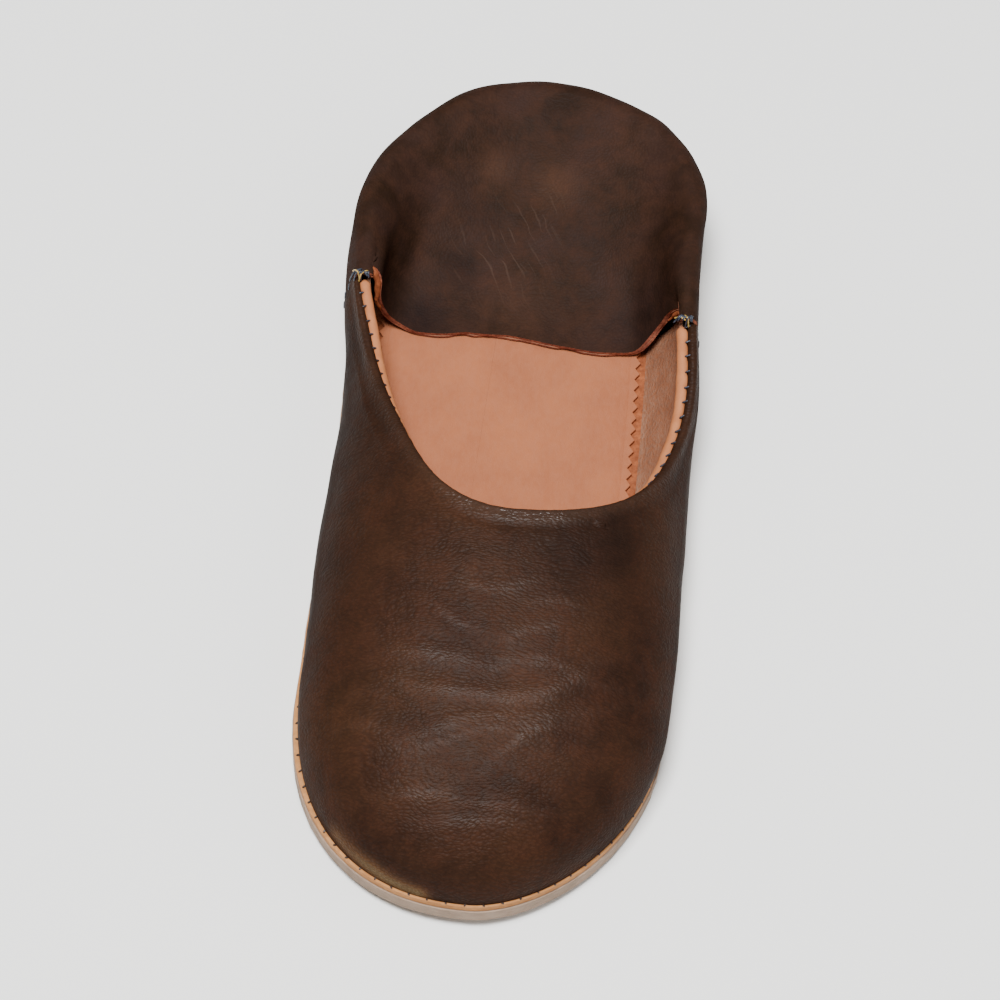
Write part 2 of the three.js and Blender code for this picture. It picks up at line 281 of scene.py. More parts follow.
# from the top of the wall over the fold and down the flap to a point of its free edge
def foldAndFlap(place, wallPoints, end, steps):
    inward = place["inward"]
    top, below = wallPoints[-1], wallPoints[-2]
    radius = valueAt(heelSections, "foldRadius", place["along"])
    fall = math.radians(valueAt(heelSections, "fall", place["along"]))
    heading = top - below
    start = math.atan2(heading[2], heading[0] * inward[0] + heading[1] * inward[1])

    def at(angle):
        inwards = radius * (math.sin(start) - math.sin(angle))
        up = radius * (math.cos(angle) - math.cos(start))
        return np.array([top[0] + inward[0] * inwards, top[1] + inward[1] * inwards, top[2] + up])

    points = [at(lerp(start, -fall, j / steps["fold"])) for j in range(1, steps["fold"] + 1)]
    a = points[-1]
    length = np.linalg.norm(end - a)
    leave = np.array([inward[0] * math.cos(fall), inward[1] * math.cos(fall), -math.sin(fall)])
    b = a + leave * length * flapCurve["startPull"]
    c = end + np.array([0, length * flapCurve["endPull"], 0])
    for j in range(1, steps["flap"] + 1):
        t = j / steps["flap"]
        points.append(a * (1 - t) ** 3 + 3 * b * t * (1 - t) ** 2 + 3 * c * t * t * (1 - t) + end * t**3)
    return points


# heights over the floor, with the toe spring where the sole has it
def lifted(points, alongs):
    out = np.array(points, float)
    for column in range(out.shape[1]):
        out[:, column, 2] += upperBottom
        if alongs[column] > form["throatAlong"]:
            out[:, column, 2] += springsAt(out[:, column, 1])
    return out


# a smooth line through points, evenly spaced
def smoothLine(points, spacing):
    p = np.array(points, float)
    ends = np.vstack([2 * p[:1] - p[1:2], p, 2 * p[-1:] - p[-2:-1]])
    out = []
    for k in range(len(p) - 1):
        a, b, c, d = ends[k:k + 4]
        steps = max(int(np.linalg.norm(c - b) / spacing), 1) * 2
        for t in np.arange(steps) / steps:
            bend = (2 * a - 5 * b + 4 * c - d) * t * t + (3 * b - a - 3 * c + d) * t**3
            out.append((2 * b + (c - a) * t + bend) / 2)
    return evenly(np.array(out + [p[-1]]), spacing)


# the same line with evenly spaced points
def evenly(line, spacing):
    gone = np.concatenate([[0], np.cumsum(np.linalg.norm(np.diff(line, axis=0), axis=1))])
    count = max(int(round(gone[-1] / spacing)), 1) + 1
    even = np.linspace(0, gone[-1], count)
    return np.array([np.interp(even, gone, line[:, k]) for k in range(line.shape[1])]).T


# points of a line at shares of its length
def atShare(line, share):
    i = np.arange(len(line)) / (len(line) - 1)
    return np.array([np.interp(share, i, line[:, k]) for k in range(line.shape[1])])


# making and finishing meshes

def select(obj):
    bpy.ops.object.select_all(action="DESELECT")
    obj.select_set(True)
    bpy.context.view_layer.objects.active = obj


# a grid primitive whose vertices are laid on a surface: points[row, column] in mm
def gridPiece(name, points):
    count, across = points.shape[:2]
    bpy.ops.object.select_all(action="DESELECT")
    bpy.ops.mesh.primitive_grid_add(x_subdivisions=across - 1, y_subdivisions=count - 1, size=1)
    obj = bpy.context.object
    obj.name = obj.data.name = name
    obj.data.vertices.foreach_set("co", (points * mm).astype(np.float32).ravel())
    obj.data.update()
    return obj


# merges vertices closer than a distance in mm
def weld(obj, distance=0.02):
    select(obj)
    bpy.ops.object.mode_set(mode="EDIT")
    bpy.ops.mesh.select_all(action="SELECT")
    bpy.ops.mesh.remove_doubles(threshold=distance * mm)
    bpy.ops.mesh.dissolve_degenerate(threshold=distance * 0.1 * mm)
    bpy.ops.object.mode_set(mode="OBJECT")


def joined(name, parts, distance=0.02):
    bpy.ops.object.select_all(action="DESELECT")
    for p in parts:
        p.select_set(True)
    bpy.context.view_layer.objects.active = parts[0]
    bpy.ops.object.join()
    obj = bpy.context.object
    obj.name = obj.data.name = name
    weld(obj, distance)
    return obj


# adds a modifier and applies it
def applied(obj, kind, **settings):
    select(obj)
    modifier = obj.modifiers.new(kind.lower(), kind)
    for key, value in settings.items():
        setattr(modifier, key, value)
    bpy.ops.object.modifier_apply(modifier=modifier.name)


# gives a sheet its thickness, inwards from the face it was laid on; the last material is for its cut edge
def thickened(obj, thickness, materials=(), **settings):
    for material in materials:
        obj.data.materials.append(material)
    rim = max(len(materials) - 1, 0)
    applied(obj, "SOLIDIFY", thickness=thickness * mm, offset=-1, material_offset_rim=rim, **settings)


# the last step of every piece: smooth shading, its material, and what it stands for in the frame
def finished(obj, material, angle=60, replaces=None):
    select(obj)
    bpy.ops.object.shade_smooth_by_angle(angle=math.radians(angle))
    if len(obj.data.materials) == 0:
        obj.data.materials.append(material)
    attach(obj, "root")
    if replaces:
        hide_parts(replaces)
    print("made", obj.name, len(obj.data.polygons), "faces")


# outward normals of a grid of points, shared where points coincide
def sheetNormals(points):
    quads = np.cross(points[:-1, 1:] - points[1:, :-1], points[1:, 1:] - points[:-1, :-1])
    total = np.zeros_like(points)
    for r in (0, 1):
        for c in (0, 1):
            total[r:r + quads.shape[0], c:c + quads.shape[1]] += quads
    flat = points.reshape(-1, 3)
    keys, inverse = np.unique(np.round(flat, 3), axis=0, return_inverse=True)
    inverse = inverse.ravel()
    shared = np.zeros((len(keys), 3))
    np.add.at(shared, inverse, total.reshape(-1, 3))
    normals = shared[inverse]
    length = np.linalg.norm(normals, axis=1, keepdims=True)
    normals = np.where(length > 1e-9, normals / np.maximum(length, 1e-9), [0, 0, 1])
    return normals.reshape(points.shape)


# how many places the rings round the sole have in each stretch: for folds and creases, soles and insole
fine = {"heel": 60, "opening": 90, "front": 100}
middling = {"heel": 44, "opening": 40, "front": 60}
coarse = {"heel": 24, "opening": 30, "front": 34}
ring = outlineRing(rimAt, fine)
perSide = fine["heel"] + fine["opening"] + fine["front"]
toeTipY = ring[perSide]["point"][1]
medialSeam, medialThroat = fine["heel"], fine["heel"] + fine["opening"]
lateralThroat, lateralSeam = 2 * perSide - medialThroat, 2 * perSide - medialSeam


nudge = 0.1  # how far along a neighbouring place is taken to find a direction


# the same as a place of the ring, at any distance along
def placeAt(side, along):
    def edge(a):
        return np.array([sides[side]["sign"] * soleHalfWidth(side, a), form["originAlong"] - a])

    before, after = edge(along - 2 * nudge), edge(along + 2 * nudge)
    if side == "lateral":
        before, after = after, before
    inward = np.array([before[1] - after[1], after[0] - before[0]])
    inward /= np.linalg.norm(inward)
    place = {"side": side, "along": along, "edge": edge(along), "inward": inward}
    place["point"] = place["edge"] + inward * rimAt(place)
    return place


# the front's outer face, from the medial seam round the toe to the lateral seam: [row, column] in mm
def frontSheet(stepCount):
    places = ring[medialSeam:lateralSeam + 1]
    columns = []
    for place in places:
        wallAt = frontWall(place, toeTipY)[0]
        columns.append([wallAt(j / stepCount) for j in range(stepCount + 1)])
    points = np.array(columns).transpose(1, 0, 2)
    return lifted(points, [p["along"] for p in places])


# for each place of the collar's line: the point, the way out of the face, and the way off its edge
def collarFrames():
    points, normals = [], []
    places = ring[medialSeam:medialThroat + 1] + ring[lateralThroat + 1:lateralSeam + 1]
    for place in places:
        near = placeAt(place["side"], place["along"])
        ahead = placeAt(place["side"], place["along"] + nudge)
        wallAt, turn = frontWall(near, toeTipY)
        aheadAt, aheadTurn = frontWall(ahead, toeTipY)
        top, below, beside = wallAt(1), wallAt(0.98), aheadAt(turn / aheadTurn)
        normal = np.cross(beside - top, top - below) * -sides[place["side"]]["sign"]
        points.append(top + [0, 0, upperBottom])
        normals.append(normal / np.linalg.norm(normal))
    points, normals = np.array(points), np.array(normals)
    tangents = np.gradient(points, axis=0)
    tangents /= np.linalg.norm(tangents, axis=1, keepdims=True)
    off = np.cross(normals, tangents)
    off /= np.linalg.norm(off, axis=1, keepdims=True)
    return points, normals, off


# the quarter's outer face with its fold and flap, from the lateral seam round the heel to the medial one
def quarterSheet(steps):
    seam = {}
    for side, index in (("medial", medialSeam), ("lateral", lateralSeam)):
        seam[side] = (ring[index], frontWall(ring[index], toeTipY)[0])
    places = ring[lateralSeam:] + ring[:medialSeam + 1]
    gone = [0.0]
    for a, b in zip(places, places[1:]):
        gone.append(gone[-1] + np.linalg.norm(b["point"] - a["point"]))
    edge = smoothLine([(r["x"], r["y"], r["z"] - upperBottom) for r in freeEdge], 0.4)
    columns = []
    for place, distance in zip(places, gone):
        seamPlace, seamWall = seam[place["side"]]
        wallAt = quarterWall(place, seamWall, seamPlace)
        wallPoints = [wallAt(j / steps["wall"]) for j in range(steps["wall"] + 1)]
        end = atShare(edge, 1 - distance / gone[-1])
        columns.append(wallPoints + foldAndFlap(place, wallPoints, end, steps))
    points = np.array(columns).transpose(1, 0, 2)
    return lifted(points, [p["along"] for p in places])


# distance from each point to a line of points, and the number of the nearest one
def nearestTo(points, line):
    flat = points.reshape(-1, 3)
    batch = 4000  # points measured at a time, to spare memory
    distance = np.full(len(flat), 1e9)
    nearest = np.zeros(len(flat), int)
    for start in range(0, len(flat), batch):
        part = flat[start:start + batch]
        d = np.linalg.norm(part[:, None] - line[None], axis=2)
        nearest[start:start + batch] = d.argmin(axis=1)
        distance[start:start + batch] = d.min(axis=1)
    return distance.reshape(points.shape[:-1]), nearest.reshape(points.shape[:-1])


# a tube along a line: its section turns with the line, and its ends close in a point
def tubePoints(line, radii, around=12, up=(0, 0, 1)):
    radii = radii[:, None]
    tangent = np.gradient(line, axis=0)
    tangent /= np.maximum(np.linalg.norm(tangent, axis=1, keepdims=True), 1e-9)
    side = np.cross(tangent, up)
    side /= np.maximum(np.linalg.norm(side, axis=1, keepdims=True), 1e-9)
    top = np.cross(side, tangent)
    circle = []
    for k in range(around + 1):
        a = -2 * math.pi * k / around
        circle.append(line + side * radii * math.cos(a) + top * radii * math.sin(a))
    tube = np.array(circle)
    tube[:, 0], tube[:, -1] = line[0], line[-1]
    return tube


thread = {
    "spacing": 0.9,  # between its points, in shares of its radius
    "taper": 1.5,  # how many points from an end it is full
    "thinEnd": 0.35,
    "leaning": (0.3, 0.2, 1),  # turns the sections of all threads alike
    "weld": 0.004,
}


# many short threads as one mesh, each a tube along a few points
def threadPiece(name, paths, radius, around=6):
    parts = []
    for path in paths:
        line = smoothLine(path, radius * thread["spacing"])
        toEnd = np.minimum(np.arange(len(line)), np.arange(len(line))[::-1])
        radii = np.clip(toEnd / thread["taper"], thread["thinEnd"], 1) * radius
        up = np.cross(line[-1] - line[0], thread["leaning"])
        up /= max(np.linalg.norm(up), 1e-9)
        parts.append(gridPiece(name, tubePoints(line, radii, around, up)))
    return joined(name, parts, thread["weld"])


# a value at each vertex, painted by a function of its place in mm
def paint(obj, name, valueOf):
    mesh = obj.data
    places = np.empty(len(mesh.vertices) * 3, np.float32)
    mesh.vertices.foreach_get("co", places)
    values = valueOf(places.reshape(-1, 3).astype(float) / mm)
    layer = mesh.attributes.new(name, "FLOAT", "POINT")
    layer.data.foreach_set("value", values.astype(np.float32))


# soft noise at each point, about this many mm across, in a place of its own for each seed
def cloud(points, size, seed):
    flat = points.reshape(-1, 3) / size
    offset = Vector((seed * 7.3, seed * 3.1, seed * 5.7))
    values = [noise.noise(Vector(p) + offset) for p in flat]
    return np.array(values).reshape(points.shape[:-1])


# clouds of several sizes and heights, laid over each other
def uneven(points, clouds, seed):
    return sum(height * cloud(points, size, seed + k) for k, (size, height) in enumerate(clouds))


# soft spots: x, y, z, radius and amount
def spots(places, table):
    total = np.zeros(len(places))
    for row in table:
        d = np.linalg.norm(places - [row["x"], row["y"], row["z"]], axis=1) / row["radius"]
        total += row["amount"] * np.exp(-d * d)
    return total


# materials

# an sRGB hex color as the shader reads it
def linear(hexColor):
    values = [int(hexColor[i:i + 2], 16) / 255 for i in (0, 2, 4)]
    return tuple(v / 12.92 if v <= 0.04045 else ((v + 0.055) / 1.055) ** 2.4 for v in values) + (1,)


# adds a node with its settings; an input is a value or another node's output
def add(tree, kind, inputs=None, **settings):
    n = tree.nodes.new(kind)
    for key, value in settings.items():
        setattr(n, key, value)
    for key, value in (inputs or {}).items():
        socket = n.inputs[key]
        if isinstance(value, bpy.types.NodeSocket):
            tree.links.new(value, socket)
        else:
            socket.default_value = value
    return n


def newMaterial(name):
    material = bpy.data.materials.new(name)
    material.use_nodes = True
    tree = material.node_tree
    tree.nodes.clear()
    return material, tree


def perMillimetre(size):
    return 1 / (size * mm)  # a noise scale whose features are about this many mm


# lays tints one over another: each is clear where its pattern has the first value, and as strong as the
# third says where it has the second
def tinted(tree, look, first, layers):
    color = linear(look[first])
    for pattern, clear, full, strength, tint in layers:
        share = add(tree, "ShaderNodeMapRange", {0: pattern, 1: clear, 2: full, 3: 0, 4: strength})
        settings = {0: share.outputs[0], 6: color, 7: linear(look[tint])}
        color = add(tree, "ShaderNodeMix", settings, data_type="RGBA").outputs[2]
    return color


# dyed sheepskin: chrome tanned, dyed by hand in layers and rubbed with wax. The dye pools unevenly, the
# grain is a fine pebble of about a millimetre that stretches into wrinkles where the leather folds.
def dyedSheepskin(name, look):
    material, tree = newMaterial(name)
    place = add(tree, "ShaderNodeTexCoord").outputs["Object"]
    # the patterns are pushed about by a few millimetres, so that none of them runs evenly
    drift = add(tree, "ShaderNodeTexNoise", {"Vector": place, "Scale": perMillimetre(14), "Detail": 2})
    settings = {0: drift.outputs["Color"], 1: (0.5, 0.5, 0.5)}
    drift = add(tree, "ShaderNodeVectorMath", settings, operation="SUBTRACT")
    drift = add(tree, "ShaderNodeVectorMath", {0: drift.outputs[0], "Scale": 6 * mm}, operation="SCALE")
    warped = add(tree, "ShaderNodeVectorMath", {0: place, 1: drift.outputs[0]}, operation="ADD").outputs[0]
    across = add(tree, "ShaderNodeMapping", {"Vector": warped, "Scale": look["stretch"]}).outputs[0]
    noises = {}
    for key, where, size, detail, roughness in (
        ("pool", warped, look["poolSize"], 5, 0.6),
        ("cloudy", warped, 6, 5, 0.65),
        ("wrinkle", across, look["wrinkleSize"], 3, 0.55),
        ("pore", place, 0.5, 3, 0.5),  # coarser than real pores, which would be too fine to show
    ):
        settings = {"Vector": where, "Scale": perMillimetre(size), "Detail": detail, "Roughness": roughness}
        noises[key] = add(tree, "ShaderNodeTexNoise", settings).outputs["Fac"]
    settings = {"Vector": across, "Scale": perMillimetre(look["grainSize"]), "Randomness": 0.9}
    pebble = add(tree, "ShaderNodeTexVoronoi", settings, feature="F1").outputs["Distance"]
    painted = {}
    for key in ("tone", "crest", "rubbed"):
        painted[key] = add(tree, "ShaderNodeAttribute", attribute_name=key).outputs["Fac"]
    # the wrinkles are drawn dark along the middle lines of their noise
    fold = add(tree, "ShaderNodeMath", {0: noises["wrinkle"], 1: 0.5}, operation="SUBTRACT")
    fold = add(tree, "ShaderNodeMath", {0: fold.outputs[0]}, operation="ABSOLUTE").outputs[0]
    # where a tone goes past its lightest the dye is rubbed off, first between the pores
    bare = add(tree, "ShaderNodeMapRange", {0: painted["tone"], 1: 1, 2: 2}).outputs[0]
    grain = add(tree, "ShaderNodeMapRange", {0: noises["pore"], 1: 0.4, 2: 0.6, 3: 0.35}).outputs[0]
    bare = add(tree, "ShaderNodeMath", {0: bare, 1: grain}, operation="MULTIPLY").outputs[0]
    layers = [
        (noises["pool"], 0.36, 0.64, 1, "mid"),
        (noises["cloudy"], 0.42, 0.72, look["redness"], "red"),
        # the painted tone: the dye's own lighter and darker patches, and painted shade on the front's low
        # side walls and the toe's lower front
        (painted["tone"], 0, 1, 1, "light"),
        (painted["tone"], 0, -1, 1, "black"),
        (bare, 0, 1, 0.6, "worn"),
        (pebble, 0.25, 0.62, look["grainDark"], "black"),
        (fold, 0.042, 0, look["wrinkleDark"], "black"),
    ]
    if look["scratches"]:
        # fine scratches one way: a noise drawn out eighteen times as long as it is wide
        settings = {"Vector": warped, "Rotation": (0, 0, look["scratches"]), "Scale": (1, 18, 18)}
        turned = add(tree, "ShaderNodeMapping", settings, vector_type="TEXTURE").outputs[0]
        hair = add(tree, "ShaderNodeTexNoise", {"Vector": turned, "Scale": perMillimetre(0.7), "Detail": 0})
        hair = add(tree, "ShaderNodeMapRange", {0: hair.outputs["Fac"], 1: 0.66, 2: 0.72}).outputs[0]
        hair = add(tree, "ShaderNodeMath", {0: hair, 1: painted["rubbed"]}, operation="MULTIPLY").outputs[0]
        layers.append((hair, 0, 1, 0.16, "worn"))
    # painted highlight: the crests and the collar's roll are drawn lighter
    color = tinted(tree, look, "dark", layers + [(painted["crest"], 0, 1, 0.08, "light")])
    relief = {}
    for height, strength, depth, cells in (
        (noises["wrinkle"], look["wrinkleBump"], 0.6, False),
        (pebble, look["grainBump"], 0.3, True),  # its cells stand up, with the lines between them sunk
        (noises["pore"], 0.25, 0.1, False),
    ):
        settings = {"Height": height, "Strength": strength, "Distance": depth * mm, **relief}
        relief["Normal"] = add(tree, "ShaderNodeBump", settings, invert=cells).outputs[0]
    dull, duller = look["rough"]
    rough = add(tree, "ShaderNodeMapRange", {0: noises["cloudy"], 1: 0.3, 2: 0.7, 3: dull, 4: duller})
    settings = {0: painted["crest"], 1: -0.08, 2: rough.outputs[0]}
    rough = add(tree, "ShaderNodeMath", settings, operation="MULTIPLY_ADD").outputs[0]
    # the wax shines where the leather faces the eye, and its open grain goes dull towards the sides
    facing = add(tree, "ShaderNodeLayerWeight", {"Blend": 0.5}).outputs["Facing"]
    facing = add(tree, "ShaderNodeMapRange", {0: facing, 1: 0.1, 2: 0.75, 3: 1, 4: 0.1}).outputs[0]
    settings = {0: painted["crest"], 1: look["crestShine"], 2: look["specular"]}
    gloss = add(tree, "ShaderNodeMath", settings, operation="MULTIPLY_ADD").outputs[0]
    shine = add(tree, "ShaderNodeMath", {0: gloss, 1: facing}, operation="MULTIPLY").outputs[0]
    settings = {"Base Color": color, "Roughness": rough, "IOR": 1.5, "Specular IOR Level": shine, **relief}
    shader = add(tree, "ShaderNodeBsdfPrincipled", settings)
    add(tree, "ShaderNodeOutputMaterial", {"Surface": shader.outputs[0]})
    return material


# the colors, the sizes of the patterns in mm, and how strong each is
frontLook = {
    "dark": "281810", "mid": "382317", "red": "412518", "light": "543923",
    "black": "120C0A", "worn": "7C6E4E", "scratches": 0, "poolSize": 26, "redness": 0.5,
    "stretch": (0.6, 1.2, 1.0), "wrinkleSize": 1.2, "grainSize": 0.8, "grainDark": 0.25,
    "wrinkleDark": 0.25, "rough": (0.4, 0.52), "wrinkleBump": 0.3, "grainBump": 0.5,
    "specular": 0.045, "crestShine": 0.1,
}
heelLook = {
    "dark": "251810", "mid": "30201A", "red": "3D261B", "light": "55392A",
    "black": "120E10", "worn": "6E5A4E", "scratches": 0.5, "poolSize": 18, "redness": 0.55,
    "stretch": (1.0, 1.0, 1.0), "wrinkleSize": 3.5, "grainSize": 0.8, "grainDark": 0.12,
    "wrinkleDark": 0.1, "rough": (0.5, 0.62), "wrinkleBump": 0.15, "grainBump": 0.35,
    "specular": 0.035, "crestShine": 0.0,
}
frontLeather = dyedSheepskin("dyed_sheepskin_waxed", frontLook)
heelLeather = dyedSheepskin("dyed_sheepskin_matt", heelLook)


# natural leather: vegetable tanned and left undyed, so it has a warm even tan with fine wrinkles, and
# goes darker and redder in the low parts of its wrinkles and fibres
def naturalLeather(name, look):
    material, tree = newMaterial(name)
    place = add(tree, "ShaderNodeTexCoord").outputs["Object"]
    across = add(tree, "ShaderNodeMapping", {"Vector": place, "Scale": look["stretch"]}).outputs[0]
    noises = {}
    for key, where, size, detail, roughness in (
        ("cloudy", place, look["cloudSize"], 5, 0.6),
        ("wrinkle", across, look["wrinkleSize"], 4, 0.6),
        ("fibre", place, 0.45, 4, 0.7),  # coarser than real fibres, which would be too fine to show
    ):
        settings = {"Vector": where, "Scale": perMillimetre(size), "Detail": detail, "Roughness": roughness}
        noises[key] = add(tree, "ShaderNodeTexNoise", settings).outputs["Fac"]
    color = tinted(tree, look, "dark", [
        (noises["cloudy"], 0.35, 0.65, 1, "light"),
        (noises["wrinkle"], 0.6, 0.38, look["wrinkleDark"], "stain"),
        (noises["fibre"], 0.7, 0.3, 0.12, "stain"),
    ])
    relief = {}
    for key, strength, depth in (("wrinkle", look["bump"], 0.5), ("fibre", look["fibreBump"], 0.15)):
        settings = {"Height": noises[key], "Strength": strength, "Distance": depth * mm, **relief}
        relief["Normal"] = add(tree, "ShaderNodeBump", settings).outputs[0]
    settings = {"Base Color": color, "Roughness": look["rough"], "IOR": 1.48, "Specular IOR Level": 0.15}
    shader = add(tree, "ShaderNodeBsdfPrincipled", {**settings, **relief})
    add(tree, "ShaderNodeOutputMaterial", {"Surface": shader.outputs[0]})
    return material


naturalLooks = rows(
    "part light dark stain cloudSize stretch wrinkleSize wrinkleDark bump fibreBump rough",
    ("insole", "9C5E3E", "915639", "9A6248", 16, (1.6, 0.7, 1), 2.2, 0.32, 0.5, 0.6, 0.62),
    ("lining", "8E6955", "7A5644", "8E5638", 8, (1, 0.8, 1), 1.0, 0.6, 1.0, 0.3, 0.5),
    ("bead", "AF7049", "A2643E", "9C6244", 5, (1, 1, 1), 1.4, 0.15, 0.3, 0.2, 0.58),
    ("margin", "A05C38", "84472A", "5E2E18", 4, (1, 1, 1), 1.2, 0.5, 0.6, 0.5, 0.6),
    ("raw", "A4634A", "86493A", "4A2318", 3, (1, 1, 1), 0.8, 0.5, 0.6, 0.6, 0.85),
    ("rim", "C08A58", "A87446", "8A5530", 6, (1, 1, 3), 1.5, 0.3, 0.4, 0.5, 0.75),
    ("edge", "A6907E", "907C6B", "6E5C50", 9, (0.5, 0.5, 4), 1.6, 0.35, 0.6, 0.8, 0.88),
)
natural = {look["part"]: naturalLeather("natural_leather_" + look["part"], look) for look in naturalLooks}


# waxed linen thread: dark, with a dull shine along its twist painted into its colour as a highlight
def waxedThread(name, color, shine):
    material, tree = newMaterial(name)
    place = add(tree, "ShaderNodeTexCoord").outputs["Object"]
    twist = add(tree, "ShaderNodeTexNoise", {"Vector": place, "Scale": perMillimetre(0.35), "Detail": 2})
    twist = twist.outputs["Fac"]
    tint = tinted(tree, {"color": color, "shine": shine}, "color", [(twist, 0.35, 0.7, 1, "shine")])
    bump = add(tree, "ShaderNodeBump", {"Height": twist, "Strength": 0.6, "Distance": 0.1 * mm}).outputs[0]
    shader = add(tree, "ShaderNodeBsdfPrincipled", {"Base Color": tint, "Roughness": 0.4, "Normal": bump})
    add(tree, "ShaderNodeOutputMaterial", {"Surface": shader.outputs[0]})
    return material


navyThread = waxedThread("waxed_linen_navy", "14161F", "3A4250")
goldThread = waxedThread("waxed_linen_gold", "8A6A2C", "D0B060")
brownThread = waxedThread("waxed_linen_brown", "241610", "3E2A1E")
print("materials made:", len(bpy.data.materials))

# where the leather has been pulled off its even form: a place, its reach each way and the shift there
handShaping = rows(
    "place reach shift",
    ((-48, 64, 24), (9, 20, 12), (-2.4, 0, 0)),  # round the top of the big-toe seam
    ((51, 22, 32), (9, 20, 12), (1.5, 0, 0)),
    ((-33, 0, 42), (13, 25, 14), (1.7, 0, 0)),
    ((-47, 18, 24), (9, 16, 12), (0.9, 0, 0)),
    ((52, -62, 20), (10, 32, 14), (1.2, 0, 0)),
    ((36, 112, 29), (24, 24, 14), (2.4, 2.2, 0)),  # the little-toe corner of the heel
    ((-10, 134, 28), (40, 16, 14), (0, 1.4, 0)),
    ((8, -34, 50), (26, 12, 10), (0, 2.2, 0)),  # the middle of the collar
)


def bulged(points):
    out = points.copy()
    for h in handShaping:
        away = (points - np.array(h["place"])) / np.array(h["reach"])
        out += np.exp(-(away**2).sum(axis=-1))[..., None] * np.array(h["shift"])
    return out


# the front: smooth dyed sheepskin, turned over at the collar in a soft roll
front = {
    "rows": 84,
    "thickness": 1.1,
    "rollRadius": 1.45,
    "rollAtSeam": 0.65,  # its share at the top of the big-toe seam
    "rollGrows": 14,  # places of the ring from there until it is full
    "rollTurn": 205,
    "rollSteps": 18,
    "rollPull": 16,  # how far from the collar the leather is drawn back to make room for the roll
    "groove": {"at": 4.4, "width": 1.6, "depth": 0.32},  # the dip beside the roll
    "pleats": [(2.2, 0.1), (0.9, 0.08)],  # size and height of the roll's small puckers
    "sag": [(26, 0.56), (9, 0.2)],  # size and height of the soft unevenness
    "stillRim": (1.5, 8),  # over the sole: no unevenness under the first, all of it over the second
}
# ridges of the leather across the toes and instep, in plan; a height below nothing is a trough
creases = rows(
    "width height points",
    (2.4, 0.42, [(-31, -74.5), (-17.4, -75), (-8, -76.7), (0, -78.4)]),
    (2.6, 0.6, [
        (-31, -81), (-22.6, -84), (-14, -85.4), (-3.8, -85.8), (4.6, -86.2), (13, -85.3), (21, -81.5),
        (26, -78), (30, -73.8), (38, -69),
    ]),
    (1.6, 0.42, [
        (-2, -79), (3.8, -76.5), (8.8, -75.4), (19, -75.8), (26, -78.5), (34.6, -79.4), (44, -78.5),
    ]),
    (1.5, 0.5, [
        (-29, -103), (-17, -98.4), (-6.5, -93.8), (3.4, -91.6), (13.4, -91), (25.8, -88.6), (35, -85),
        (45, -79.8),
    ]),
    (1.1, 0.35, [(-23, -104.3), (-13.7, -101), (-3.1, -96.8), (8, -94.4), (18, -93.8)]),
    (1.3, 0.42, [(0, -108), (3.5, -104.4), (7.4, -100.1), (13.7, -94.6), (22, -92.3), (29, -90.5)]),
    (1.9, 0.3, [(-28, -114), (-11.4, -113.8), (-4.7, -114.6)]),
    (1.5, 0.3, [(-6.4, -115), (7, -115.5), (17, -116), (29, -114)]),
    (1.8, 0.34, [(-17, -121), (-4.2, -120), (9, -119.7), (21, -119)]),
    (2.3, -0.4, [(-27, -79), (-12, -81), (0, -82.3), (12, -81), (22, -78)]),
    (2.0, -0.42, [(-26, -91), (-10, -90.3), (2, -89.1), (14, -88), (28, -84), (41, -78)]),
    (3.0, -0.35, [(-24, -107), (-8, -101), (4, -98.5), (16, -99)]),
    (2.6, -0.35, [(-20, -71), (-8, -71.5), (2, -73), (12, -71.5)]),
    (1.2, 0.25, [(-18, -60.5), (-9, -66.5), (-1, -68)]),
    (1.2, 0.22, [(20, -64), (11, -67), (2, -70.8)]),
    (1.4, 0.25, [(12, -52), (0, -56), (-10, -54)]),
    (1.2, 0.2, [(30, -60), (18, -57.5), (8, -60)]),
    (1.6, 0.25, [(-42, -97), (-34, -95), (-26, -97.5)]),
    (1.3, 0.22, [(-40, -88), (-33, -85), (-27, -87)]),
    (1.1, -0.3, [(30, -100), (24, -103), (17, -107)]),
)
sideRidge = {"width": 1.5, "height": 0.75, "points": [
    (-49.6, 36, 26), (-47.8, 28.6, 29.4), (-45, 18.5, 32.6), (-41.3, 5.9, 36), (-35.6, -7.3, 41.1),
    (-30, -19, 44.7),
]}
scar = {"width": 0.75, "height": 0.45, "points": [(15.2, -109.2), (15.8, -107.6), (17.6, -105.4)]}
# how high and wide creases are drawn against the sizes above, and how they run out at their ends
creasing = {"height": 0.6, "width": 0.85, "endPower": 0.6}


# the front's height over a place in plan
def onFront(x, y):
    d = np.hypot(frontPoints[..., 0] - x, frontPoints[..., 1] - y)
    z = np.where(d < 2, frontPoints[..., 2], -1)
    return z.max() if z.max() > 0 else frontPoints[..., 2].ravel()[d.argmin()]


def creaseLine(points):
    placed = [p if len(p) == 3 else (p[0], p[1], onFront(*p)) for p in points]
    return smoothLine(placed, 1.0)


def creaseHeight(points, crease, line):
    d, near = nearestTo(points, line)
    ends = np.sin(math.pi * np.clip(near / (len(line) - 1), 0.02, 0.98)) ** creasing["endPower"]
    height, width = creasing["height"] * crease["height"], creasing["width"] * crease["width"]
    return height * np.exp(-((d / width) ** 2)) * ends


frontPoints = bulged(frontSheet(front["rows"]))
collarPoints, collarNormals, collarOff = collarFrames()
collarPoints = bulged(collarPoints)
away, nearest = nearestTo(frontPoints, collarPoints)
fromSeam = smoothArray(np.arange(len(collarPoints)), 0, front["rollGrows"])
rollSize = front["rollRadius"] * lerp(front["rollAtSeam"], 1, fromSeam)
pull = rollSize[nearest] * (1 - smoothArray(away, 0, front["rollPull"]))
frontPoints = frontPoints - collarOff[nearest] * pull[..., None]
smoothFront = frontPoints.copy()
rollStart = collarPoints - collarOff * rollSize[:, None]
away, nearest = nearestTo(frontPoints, rollStart)

